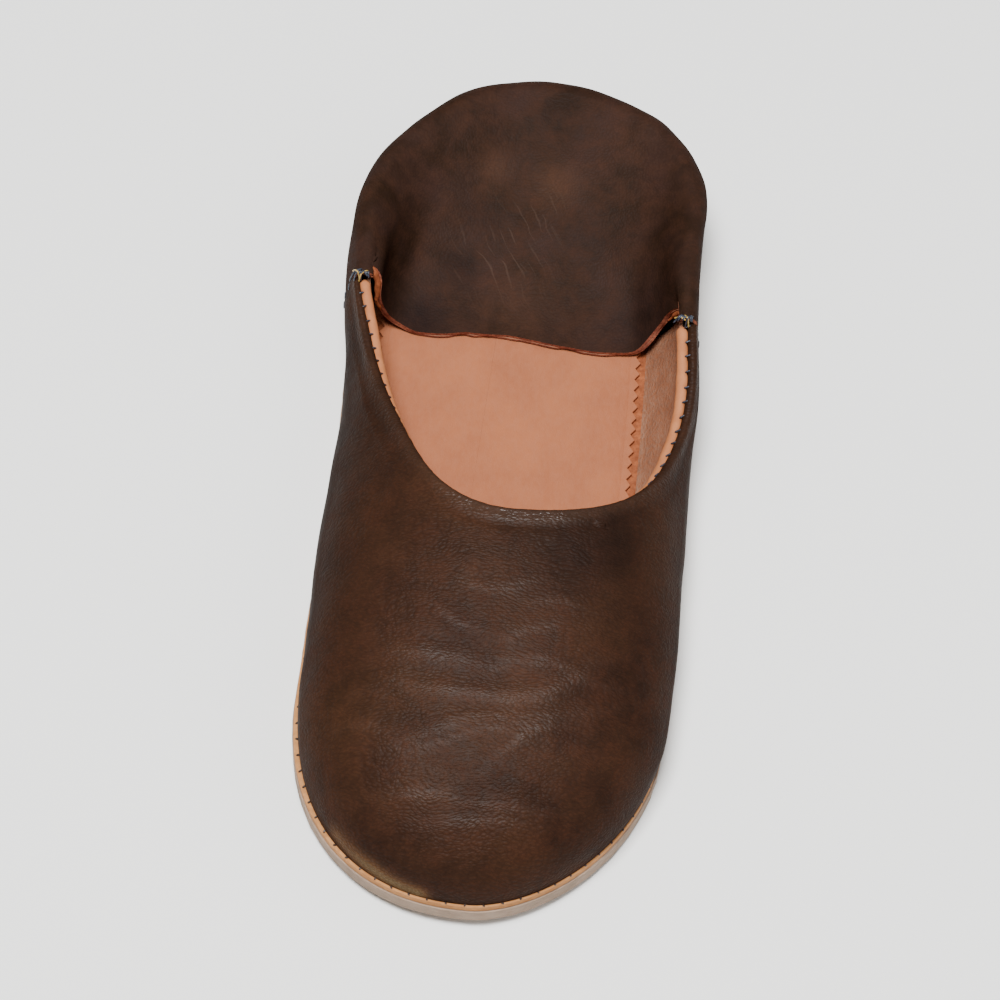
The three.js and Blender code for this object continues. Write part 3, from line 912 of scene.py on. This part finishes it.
creaseLines = [(c, creaseLine(c["points"])) for c in creases]
ridgeLine, scarLine = creaseLine(sideRidge["points"]), creaseLine(scar["points"])
normals = sheetNormals(frontPoints)
relief = sum(creaseHeight(frontPoints, c, line) for c, line in creaseLines)
relief += creaseHeight(frontPoints, sideRidge, ridgeLine) + creaseHeight(frontPoints, scar, scarLine)
relief += uneven(frontPoints, front["sag"], 1)
groove = front["groove"]
relief -= groove["depth"] * np.exp(-(((away - groove["at"]) / groove["width"]) ** 2))
relief *= smoothArray(away, 0, 3)  # nothing moves where the roll joins on
overSole = frontPoints[..., 2] - upperBottom - springsAt(frontPoints[..., 1])
relief *= smoothArray(overSole, *front["stillRim"])
frontPoints = frontPoints + normals * relief[..., None]

rollRows = []
pleats = uneven(collarPoints, front["pleats"], 9)
for j in range(front["rollSteps"] + 1):
    angle = math.radians(front["rollTurn"] * j / front["rollSteps"])
    radius = rollSize[:, None] + pleats[:, None] * math.sin(min(angle, math.pi))
    down = rollSize[:, None] - radius * math.cos(angle)
    rollRows.append(rollStart + collarOff * math.sin(angle) * radius - collarNormals * down)
rollPoints = np.array(rollRows)

vamp = joined("vamp", [gridPiece("front_body", frontPoints), gridPiece("front_roll", rollPoints)], 0.03)
thickened(vamp, front["thickness"], use_quality_normals=True)
print("front shaped with", len(creases), "creases")

# the lining: thin natural sheepskin inside the front, drawn out under the rolled edge and in to the insole
lining = {
    "step": 2,  # every second row and column of the front's sheet
    "depth": 1.15,  # from the outer face of the leather
    "collarDepth": 4.4,
    "sideDepth": {"medial": 2.0, "lateral": 3.4},
    "collarRun": 16,
    "thickness": 0.95,
    "coveHeight": 26,
    "cove": {"medial": 4.6, "lateral": 12},  # how far it stands off the wall at the bottom
    "coveToe": 1.0,
    "bottom": 8.25,
    "coveShape": 1.6,  # how sharply it turns in towards the insole
    "tightens": (150, 230),  # along the shoe it comes close to the leather between these
}


def insoleInset(x):
    return lerp(sides["medial"]["insoleInset"], sides["lateral"]["insoleInset"], smooth(x, -52, 52))


# the front's face moved inwards by a depth that changes, and coved at the bottom, at every second place
def liningSheet():
    step = lining["step"]
    places = ring[medialSeam:lateralSeam + 1][::step]
    inside = frontPoints[::-step, ::step].copy()
    normal = sheetNormals(smoothFront)[::-step, ::step]
    near = away[::-step, ::step]
    for c, place in enumerate(places):
        loose = 1 - smooth(place["along"], *lining["tightens"])
        own = lerp(lining["depth"], lining["sideDepth"][place["side"]], loose)
        depth = lerp(own, lining["collarDepth"], 1 - smoothArray(near[:, c], 0, lining["collarRun"]))
        toward = np.array([place["inward"][0], place["inward"][1], 0])
        low = upperBottom + (springAt(place["point"][1]) if place["along"] > form["throatAlong"] else 0)
        bottom = low + lining["bottom"] - upperBottom
        high = np.clip((inside[:, c, 2] - low) / lining["coveHeight"], 0, 1)
        reach = lining["cove"][place["side"]] * loose + lining["coveToe"]
        depth = lerp(depth, lining["depth"], (1 - high) ** 2)
        coved = reach * (1 - high) ** lining["coveShape"]
        inside[:, c] += -normal[:, c] * depth[:, None] + toward * coved[:, None]
        inside[:, c, 2] = np.maximum(inside[:, c, 2], bottom)
    return inside[::-1]


liningPoints = liningSheet()

# the lining's margin, turned in flat between the wall and the insole
margin = {"outer": 1.4, "under": 3.5, "top": 8.15, "thickness": 0.5, "columns": 4}
marginRing = outlineRing(lambda place: 0, coarse)
marginRing.append(marginRing[0])
marginRows = []
for k in range(margin["columns"]):
    share = k / (margin["columns"] - 1)
    row = []
    for place in marginRing:
        rim = rimAt(place) + margin["outer"]
        inset = lerp(rim, insoleInset(place["edge"][0]) + margin["under"], share)
        spot = place["edge"] + place["inward"] * inset
        row.append([spot[0], spot[1], margin["top"] + springAt(spot[1])])
    marginRows.append(row)
marginPiece = gridPiece("lining_margin", np.array(marginRows))
weld(marginPiece)
thickened(marginPiece, margin["thickness"])

# the lining's own rolled edge, a puffy bead beside the leather's roll, drawn in at each stitch
bead = {
    "across": 1.75,
    "high": 1.55,
    "drop": 0.35,
    "around": 20,
    "stitchPitch": 4.9,
    "pucker": 0.22,
    "puckerWidth": 0.9,
    "spacing": 0.6,
    "lumps": [(6, 0.12), (2.5, 0.06)],  # size, and height as a share of the bead's
    "ends": 1.5,  # how far from an end it is full
}
under = 2 * rollSize[:, None] + bead["across"] * 0.9  # a little pressed together
beadCentre = rollStart - collarNormals * under - collarOff * bead["drop"]
collarLine = np.hstack([beadCentre, collarNormals, collarOff, rollStart, rollSize[:, None]])
collarLine = evenly(collarLine, bead["spacing"])
beadCentre, beadNormal, beadOff, beadStart, beadRoll = (collarLine[:, k:k + 3] for k in (0, 3, 6, 9, 12))
gone = np.append(0, np.cumsum(np.linalg.norm(np.diff(beadCentre, axis=0), axis=1)))
toEnd = np.minimum(gone, gone[-1] - gone)
phase = (gone / bead["stitchPitch"]) % 1
pinch = np.exp(-((np.minimum(phase, 1 - phase) * bead["stitchPitch"] / bead["puckerWidth"]) ** 2))
lumps = uneven(beadCentre, bead["lumps"], 21)
ending = np.clip(toEnd / bead["ends"], 0.02, 1) ** 0.5
beadRows = []
for k in range(bead["around"] + 1):
    a = 2 * math.pi * k / bead["around"]
    toRoll = max(math.cos(a), 0) ** 2
    size = (1 + lumps) * (1 - bead["pucker"] * pinch * toRoll) * ending
    around = beadNormal * bead["across"] * math.cos(a) + beadOff * bead["high"] * math.sin(a)
    beadRows.append(beadCentre + around * size[:, None])
beadPiece = gridPiece("lining_edge", np.array(beadRows))
weld(beadPiece)

# whip stitches that bind the two rolled edges, waxed linen thread
stitch = {
    "radius": 0.26,
    "reach": 0.95,
    "slant": 0.8,
    "slants": (0.6, 1.3),  # how the slant and the reach differ by hand
    "reaches": (0.8, 1.15),
    # over the joint: across in shares of the reach, up in mm, along in shares of the slant
    "arc": [(-0.9, -0.35, -0.5), (-0.7, 0.25, -0.35), (0, 0.35, 0), (0.75, 0.45, 0.35), (1, -0.05, 0.5)],
}
# where the roll and the bead meet
joint = beadStart - beadNormal * (2 * beadRoll - 0.15) + beadOff * (beadRoll * 0.5)
collarTangent = np.gradient(beadCentre, axis=0)
collarTangent /= np.linalg.norm(collarTangent, axis=1, keepdims=True)
rng = random.Random(7)
paths = []
count = int(gone[-1] / bead["stitchPitch"])
for k in range(1, count + 1):
    i = min(int(np.searchsorted(gone, k * bead["stitchPitch"])), len(joint) - 1)
    n, u, t, j = beadNormal[i], beadOff[i], collarTangent[i], joint[i]
    slant = stitch["slant"] * rng.uniform(*stitch["slants"])
    reach = stitch["reach"] * rng.uniform(*stitch["reaches"])
    paths.append([j + n * reach * across + u * up + t * slant * along for across, up, along in stitch["arc"]])
collarStitches = threadPiece("collar_stitches", paths, stitch["radius"])
print("collar bound with", count, "stitches")

# the heel quarter, folded over and laid down inside, in two layers: dyed leather and its lining
quarter = {
    "steps": {"wall": 24, "fold": 14, "flap": 50},
    "thickness": 1.0,
    "liningThickness": 0.75,
    "sag": [(24, 0.9), (10, 0.3)],  # size and height, as for the front
    "edgeWave": [(9, 0.7), (3, 0.175)],
    "sagRows": (0.05, 0.3),  # the share of the way up in which the sag sets in
    "sagColumns": (0, 8),  # and the columns from each seam
    "sagOverInsole": (1.5, 9),
    "edgeRows": (0.9, 1),  # the last rows follow the free edge's waves
    "liningWave": 0.5,
    "layerGap": 0.06,
    "straightDown": (4, 14),  # columns from a seam in which the lining turns from under to inside
}
quarterPoints = bulged(quarterSheet(quarter["steps"]))
quarterNormals = sheetNormals(quarterPoints)
rowShare = np.arange(quarterPoints.shape[0]) / (quarterPoints.shape[0] - 1)
inner = smoothArray(rowShare, *quarter["sagRows"])[:, None] * np.ones(quarterPoints.shape[1])
columnEnd = np.minimum(np.arange(quarterPoints.shape[1]), np.arange(quarterPoints.shape[1])[::-1])
inner *= smoothArray(columnEnd, *quarter["sagColumns"])[None]
sag = uneven(quarterPoints, quarter["sag"], 30)
overInsole = smoothArray(quarterPoints[..., 2] - insoleTop, *quarter["sagOverInsole"])
quarterPoints = quarterPoints + quarterNormals * (sag * inner * overInsole)[..., None]
wave = uneven(quarterPoints[-1], quarter["edgeWave"], 41)
lastRows = smoothArray(rowShare, *quarter["edgeRows"])
quarterPoints[..., 1] += lastRows[:, None] * wave[None]

heel = gridPiece("heel_quarter", quarterPoints)
weld(heel)
thickened(heel, quarter["thickness"], (heelLeather, natural["raw"]), use_quality_normals=True)
# straight under the leather near the seams, where the fold is tight, and along its normals elsewhere
quarterNormals = sheetNormals(quarterPoints)
fromSeam = smoothArray(columnEnd, *quarter["straightDown"])[None, :, None]
layerWay = lerp(np.array([0, 0, 1]), quarterNormals, fromSeam)
heelLiningPoints = quarterPoints - layerWay * (quarter["thickness"] + quarter["layerGap"])
wave = cloud(quarterPoints[-1], 5, 43) * quarter["liningWave"] + 0.05
heelLiningPoints[..., 1] += lastRows[:, None] * wave[None]

# at both ends of the free edge the two layers part, and the lining's cut edge curls up beside the leather
curls = {
    "medial": {"length": 24, "aside": (-1.25, -0.2), "down": 0.9, "radius": 1.15, "start": 0.5},
    "lateral": {"length": 17, "aside": (1.1, -0.9), "down": 0.9, "radius": 0.95, "start": 0.8},
}
# how the curls stray, swell and thin out
curling = {"wander": (0.5, 0.2, 0.3), "lumps": 0.5, "thinning": 0.4, "blunt": 12}
edge = quarterPoints[-1]
edgeRun = np.append(0, np.cumsum(np.linalg.norm(np.diff(edge, axis=0), axis=1)))
curlPieces = []
for side, run in (("lateral", edgeRun), ("medial", edgeRun[-1] - edgeRun)):
    curl = curls[side]
    line = smoothLine(edge[(run > curl["start"]) & (run < curl["length"])], 0.6)
    share = np.arange(len(line)) / (len(line) - 1)
    if side == "medial":
        share = share[::-1]
    line = line + np.array([*curl["aside"], -curl["down"]]) + cloud(line, 3, 45)[:, None] * curling["wander"]
    ends = np.clip(1 - share, 0.02, 1) ** curling["thinning"] * np.clip(share * curling["blunt"], 0.3, 1)
    radii = curl["radius"] * (1 + cloud(line, 2.5, 46) * curling["lumps"]) * ends
    curlPieces.append(gridPiece(side + "_curl", tubePoints(line, radii)))
curlPiece = joined("quarter_lining_curls", curlPieces)

flapStart = quarter["steps"]["wall"] + quarter["steps"]["fold"] + 1
heelLiningPoints = heelLiningPoints[flapStart:]
heelLining = gridPiece("heel_lining", heelLiningPoints)
weld(heelLining)
lined = (natural["lining"], natural["raw"])
thickened(heelLining, quarter["liningThickness"], lined, use_quality_normals=True)
print("heel quarter folded down")

# the front's lining goes on out of sight behind the folded quarter
behind = {"columns": 7, "step": 1.6, "top": 36.5, "drop": 0.7}


def carriedOn(column, k):
    out = column + np.array([0, behind["step"] * k, 0])
    top = behind["top"] - behind["drop"] * behind["step"] * k
    bottom = lining["bottom"]
    squeeze = min((top - bottom) / (out[..., 2].max() - bottom), 1)
    out[..., 2] = bottom + (out[..., 2] - bottom) * squeeze
    return out


before = [carriedOn(liningPoints[:, :1], k) for k in range(behind["columns"], 0, -1)]
after = [carriedOn(liningPoints[:, -1:], k) for k in range(1, behind["columns"] + 1)]
liningPoints = np.concatenate(before + [liningPoints] + after, axis=1)
liningPiece = gridPiece("front_lining", liningPoints)
weld(liningPiece)
thickened(liningPiece, lining["thickness"], use_quality_normals=True)


# a flat sheet between the two sides of the outline, drawn up into a layer with eased edges
def solePiece(name, inset, bottom, thickness, ease, rough):
    places = outlineRing(lambda place: inset, middling)
    half = sum(middling.values())
    sheet = np.zeros((2, half + 1, 3))
    for k in range(half + 1):
        sheet[0, k, :2] = places[k]["point"]
        sheet[1, k, :2] = places[(2 * half - k) % (2 * half)]["point"]
    sheet[..., 0] += np.sign(sheet[..., 0]) * rough * cloud(sheet, 4, 50) * 2
    sheet[..., 2] = bottom + springsAt(sheet[..., 1])
    obj = gridPiece(name, sheet)
    weld(obj)
    select(obj)
    bpy.ops.object.mode_set(mode="EDIT")
    bpy.ops.mesh.select_all(action="SELECT")
    bpy.ops.mesh.extrude_region_move(TRANSFORM_OT_translate={"value": (0, 0, thickness * mm)})
    bpy.ops.mesh.select_all(action="SELECT")
    bpy.ops.mesh.normals_make_consistent(inside=False)
    bpy.ops.object.mode_set(mode="OBJECT")
    applied(obj, "BEVEL", width=ease * mm, segments=3, limit_method="ANGLE", angle_limit=math.radians(50))
    return obj


# how far the edges are eased, and how rough the cut is
soleEdges = {"outsole": {"ease": 0.5, "rough": 0.1}, "midsole": {"ease": 0.35, "rough": 0.05}}
outsole = solePiece("outsole_leather_block", 0, 0, form["outsole"], **soleEdges["outsole"])
midsoleBottom = form["outsole"] + form["gap"]
midsole = solePiece(
    "midsole_runner", form["midsoleMargin"], midsoleBottom, form["midsole"], **soleEdges["midsole"]
)
print("soles cut")

# the insole: a vegetable-tanned sock with a pinked edge and a scribed line beside it
insole = {
    "pitch": 4.0,
    "depth": 1.4,
    "rimBottom": 8.3,
    "rebate": 6,
    "wobble": 0.3,  # of the pinking, by hand
    "ease": 0.15,
    # distance in from the edge and height of its face, with the scribed line at the third
    "rings": [(2.2, 0), (2.75, 0), (2.95, -0.09), (3.15, 0), (6, 0.05), (12, 0.1), (20, 0.1)],
}


def insoleRing():
    places = outlineRing(lambda place: insoleInset(place["edge"][0]), coarse)
    outline = np.array([[*p["point"], 0] for p in places + places[:1]])
    length = np.linalg.norm(np.diff(outline, axis=0), axis=1).sum()
    teeth = int(round(length / insole["pitch"]))
    line = evenly(outline, length / (teeth * 4))[:-1]
    around = np.roll(line, -1, axis=0) - np.roll(line, 1, axis=0)
    inward = np.stack([-around[:, 1], around[:, 0], np.zeros(len(line))], axis=1)
    inward /= np.linalg.norm(inward, axis=1, keepdims=True)
    tooth = np.array([0, 0.5, 1, 0.5])[np.arange(len(line)) % 4] * insole["depth"]
    return line, inward, tooth


sockLine, sockInward, tooth = insoleRing()
wobble = cloud(sockLine, 5, 60) * insole["wobble"]
cut = sockLine + sockInward * (tooth + wobble)[:, None]


def sockRow(points, height):
    closed = np.vstack([points, points[:1]])
    closed[:, 2] = height + springsAt(closed[:, 1])
    return closed


sockSections = [
    (sockLine + sockInward * (insole["rebate"] + 2), upperBottom),
    (sockLine + sockInward * insole["rebate"], insole["rimBottom"]),
    (cut, insole["rimBottom"]),
    (cut, insoleTop - 0.12),
    (cut + sockInward * insole["ease"], insoleTop),
]
sockSections += [(sockLine + sockInward * inset, insoleTop + height) for inset, height in insole["rings"]]
sock = gridPiece("insole_sock", np.array([sockRow(*section) for section in sockSections]))
weld(sock)
select(sock)
bpy.ops.object.mode_set(mode="EDIT")
bpy.ops.mesh.select_all(action="DESELECT")
bpy.ops.mesh.select_non_manifold()
bpy.ops.mesh.edge_face_add()
bpy.ops.object.mode_set(mode="OBJECT")

# threads that bind the midsole to the upper round the rim
rimStitch = {
    "pitch": 5.3,
    "radius": 0.3,
    "turn": 0.35,
    "out": 0.12,  # how far it stands out of the midsole's edge
    # from the upper to the edge: share of the way, how far under the upper, height, share of the turn
    "arc": [(1, 0.4, 0.3, -1), (0.8, 0, 0.28, -0.4), (0.55, 0, 0.14, 0.4), (0.35, 0, -0.4, 1)],
}
rimRing = outlineRing(rimAt, middling)
rimLine = np.array([[*p["edge"], *p["inward"], rimAt(p)] for p in rimRing + rimRing[:1]])
edge = form["midsoleMargin"] - rimStitch["out"]
paths = []
for x, y, inX, inY, rim in evenly(rimLine, rimStitch["pitch"])[:-1]:
    turn = rng.uniform(-rimStitch["turn"], rimStitch["turn"])
    path = []
    for share, under, height, slide in rimStitch["arc"]:
        inset, aside = lerp(edge, rim, share) + under, slide * turn
        level = soleTop + springAt(y) + height
        path.append((x + inX * inset - inY * aside, y + inY * inset + inX * aside, level))
    paths.append(path)
rimStitches = threadPiece("rim_stitches", paths, rimStitch["radius"], 5)

# short whip stitches down each side seam, and a knot of navy and gold thread at its top
seamStitch = {
    "pitch": 4.6,
    "radius": 0.2,
    "reach": 1.1,
    # across the seam: along the shoe in shares of the reach, out and up in mm
    "arc": [(-1, -0.3, -0.5), (-0.7, 0.05, -0.4), (0, 0.1, 0), (0.7, 0.05, 0.4), (1, -0.3, 0.5)],
}
paths = []
outward = sheetNormals(frontPoints)
for column in (0, -1):
    line = evenly(np.hstack([frontPoints[:, column], outward[:, column]]), seamStitch["pitch"])
    for row in line[1:-1]:
        path = []
        for share, out, up in seamStitch["arc"]:
            path.append(row[:3] + row[3:] * out + np.array([0, share * seamStitch["reach"], up]))
        paths.append(path)
sideStitches = threadPiece("side_seam_stitches", paths, seamStitch["radius"])


# the thread's ends, knotted over the top of each seam in navy and gold
knots = rows(
    "start end count",
    ((-49.6, 54.0), (-45.0, 53.2), 9),
    ((46.4, 46.1), (50.9, 45.7), 9),
)
knotted = {
    "slip": 0.04,  # how unevenly the threads lie beside each other
    "skew": 1.8,
    "reach": (0.6, 1.4),
    "lift": (0.35, 0.8),
    "sunk": 0.3,
    "nearby": 1.3,  # the leather's height is read this far round a place
    "goldEvery": 4,
    "navyRadius": 0.27,
    "goldRadius": 0.24,
}
everyTop = np.concatenate([quarterPoints.reshape(-1, 3), rollPoints.reshape(-1, 3)])


# the height of the leather over a place in plan
def topAt(x, y):
    d = np.hypot(everyTop[:, 0] - x, everyTop[:, 1] - y)
    near = d < knotted["nearby"]
    return everyTop[near][:, 2].max() if near.any() else everyTop[d.argmin(), 2]


navyPaths, goldPaths = [], []
for knot in knots:
    for k in range(knot["count"]):
        share = (k + 0.5) / knot["count"] + rng.uniform(-knotted["slip"], knotted["slip"])
        x, y = (lerp(knot["start"][axis], knot["end"][axis], share) for axis in (0, 1))
        skew = rng.uniform(-knotted["skew"], knotted["skew"])
        reach, lift = rng.uniform(*knotted["reach"]), rng.uniform(*knotted["lift"])
        sunk, half = -knotted["sunk"], lift * 0.6
        path = []
        for s, height in ((-1, sunk), (-0.5, half), (0, lift), (0.5, half), (1, sunk)):
            a, b = x + skew * s, y + reach * s
            path.append((a, b, topAt(a, b) + height))
        gold = k % knotted["goldEvery"] == 1
        (goldPaths if gold else navyPaths).append(path)
navyKnots = threadPiece("seam_knots_navy", navyPaths, knotted["navyRadius"])
goldKnots = threadPiece("seam_knots_gold", goldPaths, knotted["goldRadius"])
print("seams stitched and knotted")

# tones of the dye, and painted shade on the low side walls and the toe's lower front: x, y, z, radius in mm
# and amount, dark below nothing
dyeTonesAndShade = rows(
    "x y z radius amount",
    # painted shade: the toe's lower front drawn darker
    (-7, -131, 16, 14, -0.3),
    (12, -40, 49, 16, -0.3),
    (31, -34, 45, 12, -0.35),
    (-43, -44, 36, 12, -0.3),
    (26, -50, 46, 14, -0.2),
    (-6, -72, 43, 9, -0.25),
    (-39, -90, 32, 14, 0.16),
    (-38, -29, 40, 14, 0.14),
    (-20, -84, 38, 9, 0.12),
    (6, -92, 40, 14, 0.08),
    (-8, -118, 30, 10, 0.06),
    (16.3, -107, 32, 1.6, -0.7),
    # painted shade: the low side walls drawn darker
    (-50, -60, 22, 18, -0.3),
    (48, -50, 24, 22, -0.25),
    (-52, -10, 20, 30, -0.55),
    (-52, 30, 24, 20, -0.35),
    (52, 0, 24, 26, -0.35),
    (52, 34, 28, 14, -0.3),
    (40, -100, 18, 18, -0.2),
)
heelScratches = rows(
    "x y z radius amount",
    (-8, 82, 15, 13, 0.8),
    (4, 96, 18, 8, 0.5),
    (-40, 62, 24, 6, 0.5),
)
# the pale patch rubbed at the toe
scuff = {"line": ((-36, -118, 15), (-26, -127.3, 14), (-14, -132.8, 13)), "width": 3.0, "amount": 2.2}
# the wax is rubbed up on the creases and the collar's roll, most at the throat's middle where the edge is
# touched; there the leather shines more, and its colour is painted lighter as a highlight
polishAndHighlight = {"creases": 0.8, "least": 0.6, "more": 2.2, "middle": 8, "reach": 20, "width": 2.2}
heelTones = rows(
    "x y z radius amount",
    (-12, 108, 22, 6, 0.4),
    (8, 104, 20, 8, 0.45),
    (30, 118, 22, 10, 0.18),
    (-2, 66, 13, 10, 0.15),
    (30, 88, 16, 5, -0.5),
    (-20, 76, 14, 6, -0.4),
    (-30, 58, 13, 8, -0.6),
    (20, 90, 15, 7, -0.35),
    (-16, 92, 16, 6, -0.35),
    (36, 60, 16, 10, -0.4),
    (-36, 100, 20, 7, -0.3),
    (10, 128, 24, 9, -0.25),
)


def frontTone(places):
    d = nearestTo(places, smoothLine(scuff["line"], 1))[0]
    return spots(places, dyeTonesAndShade) + scuff["amount"] * np.exp(-((d / scuff["width"]) ** 2))


def frontCrest(places):
    total = np.zeros(len(places))
    for c, line in creaseLines:
        if c["height"] > 0:
            total += creaseHeight(places, {"height": 1, "width": c["width"]}, line) * polishAndHighlight["creases"]
    throat = np.exp(-(((places[:, 0] - polishAndHighlight["middle"]) / polishAndHighlight["reach"]) ** 2)) * (places[:, 1] < 0)
    d = nearestTo(places, rollStart)[0]
    rollPolishAndHighlight = np.exp(-((d / polishAndHighlight["width"]) ** 2)) * (polishAndHighlight["least"] + polishAndHighlight["more"] * throat)
    return np.clip(total, 0, 1) + rollPolishAndHighlight


paint(vamp, "tone", frontTone)
paint(vamp, "crest", frontCrest)
paint(heel, "tone", lambda places: spots(places, heelTones))
paint(heel, "crest", lambda places: np.zeros(len(places)))
paint(heel, "rubbed", lambda places: spots(places, heelScratches))

finished(vamp, frontLeather, replaces="upper")
finished(liningPiece, natural["lining"], replaces="upper")
finished(marginPiece, natural["margin"], replaces="upper")
finished(beadPiece, natural["bead"])
finished(heel, heelLeather, replaces="upper")
finished(heelLining, natural["lining"], replaces="upper")
finished(curlPiece, natural["margin"])
finished(collarStitches, navyThread)
finished(navyKnots, navyThread)
finished(goldKnots, goldThread)
finished(rimStitches, brownThread)
finished(sideStitches, navyThread)
finished(sock, natural["insole"], angle=35, replaces="insole")
finished(midsole, natural["rim"], angle=40, replaces="midsole")
finished(outsole, natural["edge"], angle=40, replaces="outsole")


# floor, light and camera
floor = {"height": -0.0002, "size": 4.0, "color": "FAFAF8"}
bpy.ops.object.select_all(action="DESELECT")
bpy.ops.mesh.primitive_plane_add(size=floor["size"], location=(0, 0, floor["height"]))
ground = bpy.context.object
ground.name = "studio_floor"
paper, tree = newMaterial("studio_paper")
shader = add(tree, "ShaderNodeBsdfPrincipled", {"Base Color": linear(floor["color"]), "Roughness": 0.9})
add(tree, "ShaderNodeOutputMaterial", {"Surface": shader.outputs[0]})
ground.data.materials.append(paper)

camera = {
    "azimuth": 1.9,
    "elevation": 57,
    "distance": 0.96,
    "roll": 2.7,
    "lens": 118.8,
    "lookAt": (0, 0, 0.020),
    "tiltDown": 0.49,
    "turnLeft": 0.12,
}


def placeCamera():
    azimuth, elevation = math.radians(camera["azimuth"]), math.radians(camera["elevation"])
    level = math.cos(elevation)
    back = Vector((math.sin(azimuth) * level, -math.cos(azimuth) * level, math.sin(elevation)))
    right = (-back).cross(Vector((0, 0, 1))).normalized()
    turn = Matrix.Rotation(math.radians(camera["roll"]), 3, back)
    axes = Matrix((turn @ right, turn @ right.cross(-back), back)).transposed()
    for angle, axis in ((camera["turnLeft"], "Y"), (-camera["tiltDown"], "X")):
        axes = axes @ Matrix.Rotation(math.radians(angle), 3, axis)
    bpy.ops.object.camera_add()
    cam = bpy.context.object
    cam.name = "studio_camera"
    cam.data.lens = camera["lens"]
    cam.data.sensor_width = 36
    place = Vector(camera["lookAt"]) + back * camera["distance"]
    cam.matrix_world = Matrix.Translation(place) @ axes.to_4x4()
    bpy.context.scene.camera = cam


placeCamera()

# name, place, size, power
lights = [
    ("key", (-0.15, -0.3, 1.7), 0.55, 62),
    ("fill", (1.1, -0.3, 1.2), 1.2, 5),
    ("back", (0.1, 1.1, 1.4), 1.0, 2),
]
for name, place, size, power in lights:
    bpy.ops.object.light_add(type="AREA", location=place)
    lamp = bpy.context.object
    lamp.name = "studio_" + name
    lamp.data.size = size
    lamp.data.energy = power
    lamp.rotation_mode = "QUATERNION"
    lamp.rotation_quaternion = (Vector(place) - Vector(camera["lookAt"])).to_track_quat("Z", "Y")

world = bpy.data.worlds.new("studio")
bpy.context.scene.world = world
world.use_nodes = True
world.node_tree.nodes["Background"].inputs["Color"].default_value = (1, 1, 1, 1)
world.node_tree.nodes["Background"].inputs["Strength"].default_value = 0.3

print("studio lit")
